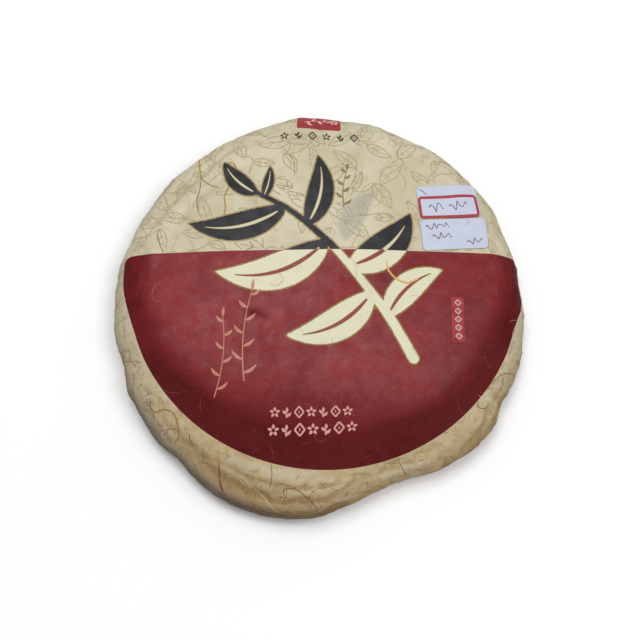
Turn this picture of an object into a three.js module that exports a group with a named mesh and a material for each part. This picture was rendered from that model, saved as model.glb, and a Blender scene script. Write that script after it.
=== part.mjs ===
// A wrapped tea cake: a pressed disc of tea shut in one sheet of thin fibrous paper, with two small
// labels stuck to its face. Millimetres, +Z up, face up, the far edge of the face towards +Y.
// The sheet lies smooth over the face and round the rim. Underneath it is gathered in spiral pleats
// that lie flat on the table, and its ends are twisted into a small knot in a shallow dish.
// Every point of the sheet is named by an angle round the cake and a distance along the sheet, from
// the middle of the face, over the rim, to the knot.
import * as THREE from "three";

// Driving sizes of the mean section.
const RIM_RADIUS = 93.6;
const RIM_HEIGHT = 9;
const CROWN_HEIGHT = 27;
const SHOULDER_RADIUS = 80;
const SHOULDER_HEIGHT = 20.5;
const BASE_RADIUS = 83;
const DISH_RADIUS = 36;
const DISH_DEPTH = 3.6;
const KNOT_RADIUS = 19;
const KNOT_TIP = 0.8;

// The rim's outline: short flat runs of uneven length, with bulges (+) and hollows (-) pushed
// into it. Inside the share OUTLINE_REACH of the rim's radius the section stays round.
const FLAT_RUNS = 19;
const FLAT_SHARPNESS = 0.6;
const MEAN_FLAT = 0.99;
const OUTLINE_REACH = 0.45;
const OUTLINE_BUMPS = [
  { bearing: 98, width: 10, push: 1.2 },
  { bearing: 124, width: 10, push: -1.1 },
  { bearing: 174, width: 10, push: 0.6 },
  { bearing: 212, width: 9, push: 0.8 },
  { bearing: 252, width: 20, push: 3.4 },
  { bearing: 291, width: 15, push: -7.8 },
  { bearing: 322, width: 8, push: 0.9 },
  { bearing: 370, width: 14, push: -1.2 },
];

// Relief of the sheet out of its mean section: lumps of the tea under the paper, creases that run
// round the shoulder and the rim, and tucks that run up the wall.
const LUMP_HEIGHT = 0.45;
const CREASES = [
  { bearing: 256, width: 24, distance: 86, breadth: 2.4, height: -0.9 },
  { bearing: 252, width: 22, distance: 91, breadth: 2.6, height: 1.1 },
  { bearing: 258, width: 20, distance: 97, breadth: 2.2, height: -0.8 },
  { bearing: 136, width: 26, distance: 79, breadth: 2.6, height: 0.7 },
  { bearing: 140, width: 28, distance: 85, breadth: 3, height: -0.8 },
  { bearing: 20, width: 22, distance: 82, breadth: 3, height: 0.5 },
];
const TUCKS = [
  { bearing: 24, width: 4, depth: 0.7 },
  { bearing: 62, width: 5, depth: 0.6 },
  { bearing: 104, width: 4, depth: 0.7 },
  { bearing: 150, width: 4, depth: 0.7 },
  { bearing: 196, width: 4, depth: 0.9 },
  { bearing: 228, width: 4, depth: 0.8 },
  { bearing: 274, width: 5, depth: 1.1 },
  { bearing: 308, width: 4, depth: 0.9 },
  { bearing: 331, width: 4, depth: 1.2 },
];

// The pleats underneath: each is pressed flat over its first share, then rises over the next one.
const PLEATS = 28;
const PLEAT_LIFT = 1.3;
const PLEAT_PRESSED = 0.3;
const PLEAT_SPIRAL = 0.6;
const PLEAT_START = 4;
const KNOT_CORE = 5;

// The labels. Right and away place a label's middle on the sheet, from the middle of the face.
const LABEL_THICKNESS = 0.3;
const LABEL_GAP = 0.3;
const LABEL_CORNER = 1.6;
const UPPER_LABEL = { right: 59.6, away: 48.6, width: 29.5, height: 15.6, tilt: 5 };
const LOWER_LABEL = { right: 61.4, away: 31.5, width: 31, height: 15, tilt: 4.5 };

// How finely the solids are faceted: four columns for each pleat, and rings in each section.
const COLUMNS = 4 * PLEATS;
const SECTION_STEPS = { crown: 9, shoulder: 9, wall: 7, base: 8, dish: 4, knot: 5 };
const LABEL_COLUMNS = 12;
const LABEL_ROWS = 7;

const TURN = 2 * Math.PI;
const { clamp, degToRad, euclideanModulo, lerp, radToDeg, smoothstep } = THREE.MathUtils;
const bell = (x) => Math.exp(-x * x);
const degreesApart = (a, b) => euclideanModulo(a - b + 180, 360) - 180;

// The mean section of the sheet, from the middle of the face out, over the rim and back in.
const bend = (...points) =>
  new THREE.CubicBezierCurve(...points.map(([radius, height]) => new THREE.Vector2(radius, height)));
const SECTIONS = {
  crown: bend(
    [0, CROWN_HEIGHT],
    [30, CROWN_HEIGHT],
    [62, 23.6],
    [SHOULDER_RADIUS, SHOULDER_HEIGHT],
  ),
  shoulder: bend(
    [SHOULDER_RADIUS, SHOULDER_HEIGHT],
    [86, 19.4],
    [93.1, 15],
    [RIM_RADIUS, RIM_HEIGHT],
  ),
  wall: bend([RIM_RADIUS, RIM_HEIGHT], [94, 4.5], [91, 0], [BASE_RADIUS, 0]),
  base: bend([BASE_RADIUS, 0], [68, 0], [51, 0], [DISH_RADIUS, 0]),
  dish: bend([DISH_RADIUS, 0], [28, 0], [26, DISH_DEPTH], [KNOT_RADIUS, DISH_DEPTH]),
  knot: bend([KNOT_RADIUS, DISH_DEPTH], [12, DISH_DEPTH], [8, KNOT_TIP], [0, KNOT_TIP]),
};
const section = new THREE.CurvePath();
const sectionEnds = {};
for (const [name, curve] of Object.entries(SECTIONS)) {
  curve.arcLengthDivisions = 400;
  section.add(curve);
  sectionEnds[name] = section.curves.reduce((sum, each) => sum + each.getLength(), 0);
}

// A point of the mean section and its outward normal, at a distance along the sheet.
function meanSection(distance) {
  const share = clamp(distance / sectionEnds.knot, 0, 1);
  const point = section.getPointAt(share);
  const along = section.getTangentAt(share);
  return { radius: point.x, height: point.y, outR: -along.y, outZ: along.x };
}

// The rim's radius at an angle: the round of flat runs, with the bulges and hollows added.
function rimRadius(angle) {
  const bearing = radToDeg(angle);
  const bumps = OUTLINE_BUMPS.reduce(
    (sum, bump) => sum + bump.push * bell(degreesApart(bearing, bump.bearing) / bump.width),
    0,
  );
  const uneven = angle + 0.1 * Math.sin(2 * angle + 0.5) + 0.05 * Math.sin(5 * angle);
  const run = euclideanModulo((uneven / TURN) * FLAT_RUNS, 1);
  const half = Math.PI / FLAT_RUNS;
  const flat = Math.cos(half) / Math.cos(Math.abs(run - 0.5) * 2 * half);
  return (RIM_RADIUS + bumps) * (1 + FLAT_SHARPNESS * (flat - MEAN_FLAT));
}

// Low lumps of the tea under the paper, from about -1 to 1.
function lumps(right, away) {
  return (
    Math.sin(right / 17 + 0.6) * Math.sin(away / 14 - 1.1) +
    0.6 * Math.sin(right / 9 - away / 12 + 2) +
    0.4 * Math.sin(right / 6.5 + 1.7) * Math.sin(away / 7.5 + 0.4)
  );
}

// How far the pleats have wound round the cake at a distance: a logarithmic spiral from the rim in.
function spiralTurn(distance) {
  if (distance <= sectionEnds.shoulder) return 0;
  const { radius } = meanSection(distance);
  const inward = Math.log((RIM_RADIUS + KNOT_CORE) / (radius + KNOT_CORE));
  return PLEAT_SPIRAL * Math.max(0, inward);
}

// Saw-toothed pleats: each rises from a pressed edge and drops over the edge of the next one.
function pleatLift(angle) {
  const share = euclideanModulo((angle / TURN) * PLEATS + 1e-6, 1);
  return PLEAT_LIFT * Math.max(0, (share - PLEAT_PRESSED) / (1 - PLEAT_PRESSED));
}

// How far the sheet stands out of its mean section.
function relief(angle, distance) {
  const { crown, shoulder, wall, dish, knot } = sectionEnds;
  const bearing = radToDeg(angle);
  const lumpShare = 1 - smoothstep(distance, crown - 8, shoulder);
  const tuckShare = smoothstep(distance, crown, shoulder) * (1 - smoothstep(distance, shoulder, wall));
  const pleatShare =
    smoothstep(distance, shoulder + PLEAT_START, wall) * (1 - smoothstep(distance, dish, knot));
  let out = LUMP_HEIGHT * lumpShare * lumps(distance * Math.cos(angle), distance * Math.sin(angle));
  for (const crease of CREASES) {
    const round = bell(degreesApart(bearing, crease.bearing) / crease.width);
    out += crease.height * round * bell((distance - crease.distance) / crease.breadth);
  }
  for (const tuck of TUCKS) {
    out -= tuck.depth * tuckShare * bell(degreesApart(bearing, tuck.bearing) / tuck.width);
  }
  return out - pleatShare * pleatLift(angle - spiralTurn(distance));
}

// The sheet's point at an angle and a distance, lifted off it by a gap.
function sheetPoint(angle, distance, gap = 0) {
  const { radius, height, outR, outZ } = meanSection(distance);
  const out = relief(angle, distance) + gap;
  const reach = smoothstep(radius, OUTLINE_REACH * RIM_RADIUS, RIM_RADIUS);
  const spread = 1 + (rimRadius(angle) / RIM_RADIUS - 1) * reach;
  const from = (radius + outR * out) * spread;
  return new THREE.Vector3(from * Math.cos(angle), from * Math.sin(angle), height + outZ * out);
}

// The whole cake in its paper: the section turned round, then each point moved onto the sheet.
// Below the rim the columns wind with the pleats, so that every fold runs along an edge.
function wrappedCake() {
  const distances = [0];
  for (const [name, steps] of Object.entries(SECTION_STEPS)) {
    const start = distances.at(-1);
    for (let step = 1; step <= steps; step++) {
      distances.push(lerp(start, sectionEnds[name], step / steps));
    }
  }
  distances.reverse();
  const rings = distances.map((distance) => {
    const { radius, height } = meanSection(distance);
    return new THREE.Vector2(radius, height);
  });
  const geometry = new THREE.LatheGeometry(rings, COLUMNS);
  const positions = geometry.getAttribute("position");
  for (let i = 0; i < positions.count; i++) {
    const distance = distances[i % distances.length];
    const column = Math.floor(i / distances.length) % COLUMNS;
    const { x, y, z } = sheetPoint((column / COLUMNS) * TURN + spiralTurn(distance), distance);
    positions.setXYZ(i, x, y, z);
  }
  geometry.computeVertexNormals();
  return geometry;
}

// A label: a thin slab with nipped corners, bent over the face just clear of the paper.
function label({ right, away, width, height, tilt }) {
  const slab = new THREE.BoxGeometry(width, height, LABEL_THICKNESS, LABEL_COLUMNS, LABEL_ROWS, 1);
  const positions = slab.getAttribute("position");
  const turned = degToRad(tilt);
  for (let i = 0; i < positions.count; i++) {
    let across = positions.getX(i);
    let up = positions.getY(i);
    const overX = Math.abs(across) - (width / 2 - LABEL_CORNER);
    const overY = Math.abs(up) - (height / 2 - LABEL_CORNER);
    if (overX > 0 && overY > 0) {
      const nip = (1 - Math.SQRT1_2) * Math.min(overX, overY);
      across -= Math.sign(across) * nip;
      up -= Math.sign(up) * nip;
    }
    const toRight = right + across * Math.cos(turned) - up * Math.sin(turned);
    const toFar = away + across * Math.sin(turned) + up * Math.cos(turned);
    const gap = LABEL_GAP + LABEL_THICKNESS / 2 + positions.getZ(i);
    const { x, y, z } = sheetPoint(Math.atan2(toFar, toRight), Math.hypot(toRight, toFar), gap);
    positions.setXYZ(i, x, y, z);
  }
  slab.computeVertexNormals();
  return slab;
}

const paper = new THREE.MeshStandardMaterial({ color: 0xcdc4a6, roughness: 0.7, metalness: 0 });
const labelPaper = new THREE.MeshStandardMaterial({ color: 0xd3d8e6, roughness: 0.55, metalness: 0 });

function named(name, geometry, material) {
  const mesh = new THREE.Mesh(geometry, material);
  mesh.name = name;
  return mesh;
}

const teaCake = new THREE.Group();
teaCake.add(named("wrapped_cake", wrappedCake(), paper));
teaCake.add(named("upper_label", label(UPPER_LABEL), labelPaper));
teaCake.add(named("lower_label", label(LOWER_LABEL), labelPaper));

// The middle of the whole, seen from above, stands on the origin.
const box = new THREE.Box3().setFromObject(teaCake);
const middle = box.getCenter(new THREE.Vector3());
for (const mesh of teaCake.children) {
  mesh.geometry.translate(-middle.x, -middle.y, -box.min.z);
}

export default teaCake;
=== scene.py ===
"""Dresses a pressed tea cake in its printed paper and its labels. A Blender add-on, run as a script.

The panel's sizes are in metres. The shapes are worked out in millimetres on the sheet of paper that
wraps the cake. A point of the sheet has an angle round the cake and a distance along the sheet from
the middle of the face, over the rim, to the knot underneath. On the flat map of the same sheet it
has a place to the right of that middle and away from it: distance times the angle's cosine and sine.
"""

import math
from functools import lru_cache
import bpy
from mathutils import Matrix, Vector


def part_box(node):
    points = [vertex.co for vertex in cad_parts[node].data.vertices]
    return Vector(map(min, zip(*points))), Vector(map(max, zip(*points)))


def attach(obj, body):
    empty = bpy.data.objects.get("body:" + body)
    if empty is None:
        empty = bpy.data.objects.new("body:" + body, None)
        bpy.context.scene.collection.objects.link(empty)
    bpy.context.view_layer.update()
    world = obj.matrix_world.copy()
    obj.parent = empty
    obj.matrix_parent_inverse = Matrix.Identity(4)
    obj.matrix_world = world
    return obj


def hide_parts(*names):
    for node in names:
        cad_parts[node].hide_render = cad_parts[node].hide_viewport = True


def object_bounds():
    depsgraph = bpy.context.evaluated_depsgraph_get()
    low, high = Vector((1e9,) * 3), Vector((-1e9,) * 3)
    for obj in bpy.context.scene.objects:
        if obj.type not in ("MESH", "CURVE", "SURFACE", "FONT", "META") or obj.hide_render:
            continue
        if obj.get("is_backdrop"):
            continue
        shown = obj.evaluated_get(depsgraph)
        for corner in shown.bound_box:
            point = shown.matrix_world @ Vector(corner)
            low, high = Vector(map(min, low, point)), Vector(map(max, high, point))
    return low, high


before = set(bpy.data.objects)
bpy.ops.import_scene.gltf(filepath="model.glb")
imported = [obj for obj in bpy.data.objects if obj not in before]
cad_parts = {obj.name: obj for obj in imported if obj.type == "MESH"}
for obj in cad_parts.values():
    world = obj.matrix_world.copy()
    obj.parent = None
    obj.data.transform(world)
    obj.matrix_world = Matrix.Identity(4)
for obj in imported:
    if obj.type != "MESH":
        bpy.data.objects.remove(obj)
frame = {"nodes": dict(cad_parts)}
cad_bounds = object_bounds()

from types import SimpleNamespace

import bpy
import numpy as np
from bpy.props import FloatProperty, FloatVectorProperty, IntProperty, PointerProperty
from mathutils import Vector

bl_info = {
    "name": "Wrapped Tea Cake",
    "version": (1, 0, 0),
    "blender": (4, 5, 0),
    "location": "3D Viewport > Sidebar > Tea Cake",
    "description": "Dresses a pressed tea cake in printed fibrous paper with two stick-on labels",
    "category": "Add Mesh",
}

MM = 0.001
TURN = 2 * math.pi

# The rim's outline: bearing and width in degrees, and how far the rim is pushed out or in.
FLAT_RUNS = 19
FLAT_SHARPNESS = 0.6
MEAN_FLAT = 0.99
OUTLINE_REACH = 0.45
OUTLINE_BUMPS = [
    (98, 10, 1.2),
    (124, 10, -1.1),
    (174, 10, 0.6),
    (212, 9, 0.8),
    (252, 20, 3.4),
    (291, 15, -7.8),
    (322, 8, 0.9),
    (370, 14, -1.2),
]

# Creases round the shoulder and the rim: bearing, width in degrees, distance, breadth, height.
CREASES = [
    (256, 24, 86, 2.4, -0.9),
    (252, 22, 91, 2.6, 1.1),
    (258, 20, 97, 2.2, -0.8),
    (136, 26, 79, 2.6, 0.7),
    (140, 28, 85, 3.0, -0.8),
    (20, 22, 82, 3.0, 0.5),
]

# Tucks that run up the wall: bearing, width in degrees, depth.
TUCKS = [
    (24, 4, 0.7),
    (62, 5, 0.6),
    (104, 4, 0.7),
    (150, 4, 0.7),
    (196, 4, 0.9),
    (228, 4, 0.8),
    (274, 5, 1.1),
    (308, 4, 0.9),
    (331, 4, 1.2),
]

# Folds of the paper alone: breadth, height and places on its flat map.
FOLDS = [
    # The groove inside the rim at the far left, with the roll outside it.
    (1.9, -0.85, [(-33, 89), (-38, 80), (-45, 72), (-54, 64), (-62, 54), (-70, 46), (-76, 37), (-80, 28)]),
    (2.2, 0.6, [(-38, 89), (-48, 80), (-58, 72), (-67, 61), (-75, 51), (-81, 39)]),
    (1.1, -0.4, [(-42, 71), (-52, 60), (-61, 48)]),
    # Soft upright bands at the red field's left and right ends.
    (2.6, -0.45, [(-78, 22), (-79.5, 10), (-81.6, 1), (-83, -11)]),
    (2.2, -0.3, [(-83, -9), (-75.5, -11.3), (-64, -13.5)]),
    (2.6, -0.4, [(81, 21), (82.4, 8), (80.4, -6)]),
    (2.0, 0.25, [(76, 16), (77, 2), (75, -14)]),
    # The rolls of the bulge at the near edge, and the folds that cross it.
    (1.8, 0.4, [(-48, -65), (-37, -69), (-29, -72), (-21, -74), (-8, -76), (6, -77)]),
    (1.5, -0.75, [(-44, -70), (-31, -76), (-21, -79), (-8, -81.5), (4, -82.5), (14, -83)]),
    (1.6, 0.5, [(-36, -77), (-25, -82), (-15, -84), (-2, -85), (10, -86)]),
    (1.4, -0.9, [(-33, -80), (-21, -86), (-10, -88), (0, -88.5), (10, -89)]),
    (1.1, -0.45, [(-43, -71.5), (-35.6, -76.4), (-28, -81), (-24, -83), (-18, -91)]),
    (1.0, 0.4, [(-50, -69), (-41, -73), (-33, -77), (-26, -86)]),
    (1.6, -0.5, [(-60, -61), (-55, -64), (-48, -69), (-39, -72.5)]),
    (1.4, 0.4, [(-80, -36), (-75, -46), (-69, -55), (-60, -65)]),
    (1.2, -0.4, [(-77, -44), (-72.5, -53), (-66, -62), (-57, -71)]),
    # Creases along the near right of the rim.
    (1.3, -0.5, [(74.5, -43), (73, -51), (70, -57), (66.5, -63.5), (62, -69)]),
    (1.2, 0.4, [(80, -44), (75.5, -53), (72, -60)]),
    (1.7, 0.7, [(22, -86), (34.5, -84), (45, -78), (54, -71)]),
    (1.3, -0.35, [(28, -82), (44, -72), (58, -61)]),
    (1.0, 0.55, [(70, -42), (75, -44.5), (80, -47.5)]),
    (1.2, -0.35, [(88, 2), (88, -14), (84, -28)]),
    # Faint creases of the far and left edges.
    (1.2, -0.3, [(6, 86), (26, 84), (44, 76)]),
    (1.3, -0.3, [(50, 74), (64, 62), (76, 46)]),
    (0.9, -0.14, [(-12, 68.5), (4, 69), (22, 68)]),
    (1.2, -0.35, [(-89, -4), (-88, -18), (-84, -32)]),
]

# Short creases scattered round the rim, but not where the labels are.
SMALL_CREASES = 240
LABELS_START = math.radians(12)
LABELS_END = math.radians(46)

# How finely the paper is divided: columns round it, and rings in each stretch of the section.
PLEAT_STEPS = 20
RING_STEPS = {"crown": 66, "shoulder": 32, "wall": 26, "base": 24, "dish": 12, "knot": 13}
CURVE_STEPS = 400

# A hollow's reach in steps of the grid, and the depth of the deepest in millimetres.
HOLLOW_REACH = 4
HOLLOW_DEPTH = 0.26

# A distance that counts as nowhere near, in millimetres.
FAR = 9.0

# The big brushed sprig, in millimetres on the paper's flat map. A leaf has its base, its tip, how
# far its midrib bows to the left, and its width.
SPRIG_STEM = [(41, -27), (31, -9), (19, 8), (4, 26), (-12, 41), (-30, 52)]
SPRIG_STEM_RADII = (2.3, 1.0)
SPRIG_LEAVES = [
    ((30, -8), (55, 14), 4, 13),
    ((23, 3), (-15, -17), 6, 15),
    ((13, 15), (41, 41), -5, 16),
    ((3, 27), (-47, 13), 8, 17),
    ((-6, 35), (-1, 70), -4, 12),
    ((-16, 44), (-60, 37), 6, 14),
    ((-29, 51), (-45, 68), 2, 9),
    ((-26, 49), (-23, 65), -1, 5),
]
WASH_LEAF = ((11, 27), (27, 53), 3, 13)

# Painted shade darkens the red print along its round edge and towards the near side by one share,
# and a little to the right: the depths over which the edge's shade fades inwards, the way in which
# the near shade grows and over which distances, and the most shade in all.
PAINTED_SHADE = 0.45
ROUND_SHADE_DEPTHS = (3, 20)
NEAR_SHADE_WAY = (-0.15, -1)
NEAR_SHADE_REACH = (26, 64)
RIGHT_SHADE = 0.16
RIGHT_SHADE_REACH = (10, 70)
MOST_SHADE = 0.57

# Small sprigs: base, tip, how far the stem bows to the left, number of leaves, their length and width,
# and the stem's half width.
COPPER_SPRIGS = [
    ((-33, -37), (-30, 4), 2.2, 7, 6.5, 1.5, 0.3),
    ((-46, -44), (-43, -8), -2.0, 6, 5.5, 1.4, 0.26),
]
OLIVE_SPRIG = ((11, 43), (12.5, 63), 1.2, 6, 4.2, 1.5, 0.3)
TAB_SPRIG = ((-7.5, 88.5), (3, 90), 0.8, 4, 3.2, 1.2, 0.25)

# Rows of ornaments: first and last place to the right, number of marks, place away and size.
BLACK_ROW = (-16.5, 16, 6, 80.2, 4.2)
PINK_ROWS = [(-19.5, 12, 7, -50.6, 4.7), (-20, 14, 7, -58, 5.2)]

# The red tabs: middle and size, the round of their corners, and how they lie on the paper. Then the
# blossom's middle and size on the first, and the first and last place and the number of the lozenges
# on the second.
TABS = {"top_seal": ((-0.5, 89.6), (20.5, 10.6)), "side_seal": ((61.2, -9), (5.8, 20.6))}
TAB_CORNER = 1.2
TAB_LIFT = 0.08
TAB_THICKNESS = 0.02
TAB_BLOSSOM = ((6.6, 90.2), 4.6)
TAB_LOZENGES = (-16.6, -1.4, 5)

# The labels: width and height; lower left, lower right, upper left and upper right corners on the
# paper's flat map; and pen lines from the label's middle, each with its start, end, number of waves
# and their height.
LABELS = {
    "upper_label": SimpleNamespace(
        size=(29.5, 15.6),
        corners=[(45.5, 38.7), (73.9, 40.6), (43.9, 54.1), (72.6, 58.1)],
        pen_lines=[
            ((-9.5, -2.6), (-2.5, -2.2), 1.8, 2.5),
            ((0.2, -2.4), (8.6, -1.8), 2.4, 2.1),
            ((-13.2, 6.6), (-10.2, 3.8), 0.5, 0.3),
        ],
    ),
    "lower_label": SimpleNamespace(
        size=(31, 15),
        corners=[(46.5, 22.8), (77.4, 25.6), (45.4, 37.8), (76.2, 40.4)],
        pen_lines=[
            ((-13, 4), (-2.5, 4.6), 3.6, 1.4),
            ((-10.5, -0.8), (-1.5, -0.4), 2.8, 1.5),
            ((5.5, -4.2), (13, -3.4), 2.4, 1.5),
        ],
    ),
}

# The frame printed on the upper label: middle, width and height, round of its corners, half width of
# its line.
FRAME_MIDDLE = (-0.3, -2.5)
FRAME_SIZE = (27.4, 9.6)
FRAME_CORNER = 1.2
FRAME_HALF_WIDTH = 0.68

# Past this distance a stiff label stands off the paper, by this share of the reach squared.
STAND_OFF_START = 80
STAND_OFF = 0.005

# Patches of the flat map under the labels and the red tabs: left, low, right and high. Raised
# fibres keep a margin from them.
COVERED = [(46, 24.5, 76.5, 39), (45, 39, 73, 56.5), (-10.7, 84.4, 9.7, 96), (58.4, -19.4, 64, 1.4)]
FIBRE_MARGIN = 3

# Painted shade on the wall is strongest and most golden at the bulge, grey on the shaded side to the
# left of it, and weakest in the lit dent to the right: bearings and widths in degrees.
BULGE = (241, 30)
SHADED_SIDE = (216, 26)
DENT = (294, 15)

# The wall's tints and painted shade, by distances along the sheet: where the shaded grey side starts,
# where the painted outer shade comes in, where the painted shade of the grey foot comes in and starts
# to fade, and how much sooner it comes in at the bulge. The golden stain, with painted shade, grows
# over these places towards the near side.
SHADED_SIDE_REACH = (82, 94)
OUTER_SHADE_REACH = (83, 100)
FOOT_REACH = (96, 106)
FOOT_FADE_START = 104
SOONER = 8
STAIN_AND_SHADE_REACH = (-10, 72)

# The cream ground and its leaf pattern end at these distances along the sheet, and the pattern's
# leaves are tried at this many random places.
GROUND_EDGE = 104
PATTERN_EDGE = 105
PATTERN_TRIES = 6000

# Small dark patches on the red print: place, breadth, height and share of darkening.
DARK_PATCHES = [(-29, -6.5, 4.2, 2.4, 0.42), (-24, -8.5, 2.2, 1.6, 0.3), (28, 9, 6, 3.5, 0.2)]

# Bast fibres that show in the paper, by tint: half width and places on the flat map.
FIBRES = {
    "gold": [
        (0.30, [(-59, 76), (-57.1, 66.8), (-55.8, 61), (-52.1, 56.9), (-47, 55)]),
        (0.30, [(-44.6, 67.4), (-40.6, 67), (-38.7, 63.7), (-39.4, 59), (-41.8, 56.5), (-44.2, 50)]),
        (0.26, [(-44.2, 50), (-43.4, 45), (-43.7, 40.4)]),
        (0.14, [(-18.1, 75.2), (-15.6, 71.9), (-11.9, 66), (-11.8, 59.4)]),
        (0.16, [(-25.5, 57.3), (-22.5, 53), (-18, 50)]),
        (0.14, [(-38.8, -65.2), (-41.6, -67.2), (-43.2, -66.5), (-42.9, -70.8)]),
    ],
    "amber": [
        (0.36, [(29.6, 17.4), (30.8, 12.8), (34.3, 9), (38.7, 7.4), (43.7, 9.3)]),
    ],
    "straw": [
        (0.18, [(20.1, 47.4), (19.6, 52.4), (23, 55.6), (27.2, 55.2),
                (28.3, 50.1), (27, 45.4), (24.1, 43.4)]),
    ],
    "olive": [
        (0.30, [(-74.5, -43.4), (-74.3, -47.3), (-72.3, -49.7), (-68.3, -48.7), (-65, -49.4),
                (-62.7, -51.7), (-61.4, -56.3), (-61.6, -60.6), (-63.8, -63.3)]),
        (0.18, [(70.2, -42.2), (73, -40.4), (76, -37.1), (80.3, -33.7), (85.9, -32.1), (90.3, -33.3)]),
    ],
    "bronze": [
        (0.36, [(-42.9, -70.8), (-42.5, -75.8), (-41.6, -80),
                (-39.9, -83.6), (-37.4, -87), (-34.3, -88.2)]),
    ],
    "brown": [
        (0.16, [(-55.7, 60.3), (-55.5, 53.6), (-56.6, 48.3), (-55.8, 42.4)]),
        (0.14, [(-74.6, 34), (-72.9, 26.9), (-71.2, 23.1), (-71.3, 18.8)]),
        (0.14, [(-91.6, -26.7), (-85.7, -27), (-82.1, -29.5)]),
        (0.16, [(-83.7, -31.7), (-82.9, -36), (-84, -41.9)]),
        (0.16, [(-11.4, -86.3), (-14.6, -84.8), (-15.2, -82.2), (-12.2, -81.7),
                (-8.7, -83.1), (-4.2, -87.9), (-1.2, -91.8), (-1.7, -96.1)]),
        (0.11, [(-20.5, -71.3), (-20.1, -76.4), (-21.2, -80.7)]),
        (0.12, [(36.4, -73.8), (36.8, -77.1), (39.5, -81.8), (43, -86.3)]),
        (0.14, [(68.5, -44.5), (68.9, -47.4), (71.8, -48), (74, -46.7)]),
        (0.18, [(-56.6, -59.1), (-56.2, -62.4), (-55.2, -64.1)]),
    ],
    "flax_and_highlight": [
        # The first runs along the crest of a fold, as a painted highlight; the others are pale strands.
        (0.12, [(69.3, -42.5), (74, -44.4), (78.9, -47)]),
        (0.09, [(-38.9, -73.2), (-34.9, -76.5), (-31.5, -79.9)]),
        (0.08, [(-29.1, -79.9), (-23, -85.7), (-17.8, -91.6)]),
    ],
    "pale": [
        (0.13, [(-69, 9.1), (-73.1, 8.3), (-75.2, 4.3), (-74.7, 0.7), (-70.6, -0.6)]),
        (0.10, [(-33.4, -8.5), (-36.9, -14.4), (-40.3, -20.1)]),
    ],
}
FIBRE_SWELL = 1.2

# Scattered fibres: how many, the ranges of their bearings in degrees and distances on the rim, or of
# their places to the right and away on the face, the range of their lengths, how much they curl, their
# tints in turn, and the range of their half widths.
RIM_FIBRES = [
    (190, (0, 360), (86, 118), (3, 15), 0.07, ("brown", "brown", "brown", "olive", "gold"), (0.05, 0.11)),
    (150, (195, 345), (80, 96), (1.5, 4), 0, ("brown",), (0.04, 0.08)),
]
FACE_FIBRES = [
    (70, (-75, 75), (26, 80), (4, 14), 0.08, ("brown", "gold", "olive"), (0.04, 0.09)),
    (60, (-80, 80), (-66, 18), (3, 12), 0.12, ("pale",), (0.04, 0.07)),
]


def srgb(red, green, blue):
    """A colour of 0 to 255 in sRGB as a linear one: each share's curve is undone."""
    shares = np.array([red, green, blue]) / 255
    return tuple(np.where(shares <= 0.04045, shares / 12.92, ((shares + 0.055) / 1.055) ** 2.4))


def size_of(name, description, millimetres):
    """A length that a user can change."""
    return FloatProperty(
        name=name, description=description, default=millimetres * MM, unit="LENGTH", precision=4
    )


def colour_of(name, description, red, green, blue):
    """A colour that a user can change, given in sRGB of 0 to 255."""
    return FloatVectorProperty(
        name=name,
        description=description,
        default=srgb(red, green, blue),
        subtype="COLOR",
        size=3,
        min=0,
        max=1,
    )


class CakeSizes(bpy.types.PropertyGroup):
    """The section of the wrapped cake, its relief and its pleats."""

    rim_radius: size_of("Rim radius", "Widest radius of the section", 93.6)
    rim_height: size_of("Rim height", "Height of the widest place", 9)
    crown_height: size_of("Crown height", "Height of the middle of the face", 27)
    shoulder_radius: size_of("Shoulder radius", "Where the face turns down to the rim", 80)
    shoulder_height: size_of("Shoulder height", "Height of the shoulder", 20.5)
    base_radius: size_of("Base radius", "Radius of what lies on the table", 83)
    dish_radius: size_of("Dish radius", "Radius of the hollow underneath", 36)
    dish_depth: size_of("Dish depth", "Depth of the hollow underneath", 3.6)
    knot_radius: size_of("Knot radius", "Radius of the twisted knot in the hollow", 19)
    knot_tip: size_of("Knot tip", "Height of the knot's tip off the table", 0.8)
    lump_height: size_of("Lump height", "Height of the low lumps of tea", 0.45)
    leaf_height: size_of("Leaf height", "Height of the pressed leaves that show", 0.12)
    crumple_height: size_of("Crumple height", "Height of the paper's fine crumples", 0.2)
    gather_height: size_of("Gather height", "Height of the gathers down the wall", 0.24)
    pleat_lift: size_of("Pleat lift", "How far a pleat rises over the next one", 1.3)
    pleats: IntProperty(name="Pleats", description="Number of pleats underneath", default=28, min=6)
    pleat_spiral: FloatProperty(
        name="Pleat spiral",
        description="How far the pleats wind, as a share of a turn's radian for each natural log",
        default=0.6,
    )


class PrintSizes(bpy.types.PropertyGroup):
    """Where the paper is printed."""

    field_radius: size_of("Field radius", "Radius of the dark red field's round edge", 89.6)
    field_away: size_of("Field middle", "How far the round edge's middle is from the face's", 14)
    field_right: size_of("Field middle right", "How far that middle is to the right", 2)
    chord_away: size_of("Field top", "Where the red field's straight top edge runs", 22.7)
    line_width: size_of("Line width", "Width of the leaf pattern's lines", 0.56)
    leaf_length: size_of("Leaf length", "Length of a leaf of the pattern", 13)
    leaf_spacing: size_of("Leaf spacing", "Least distance between two leaves", 9.8)


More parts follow.
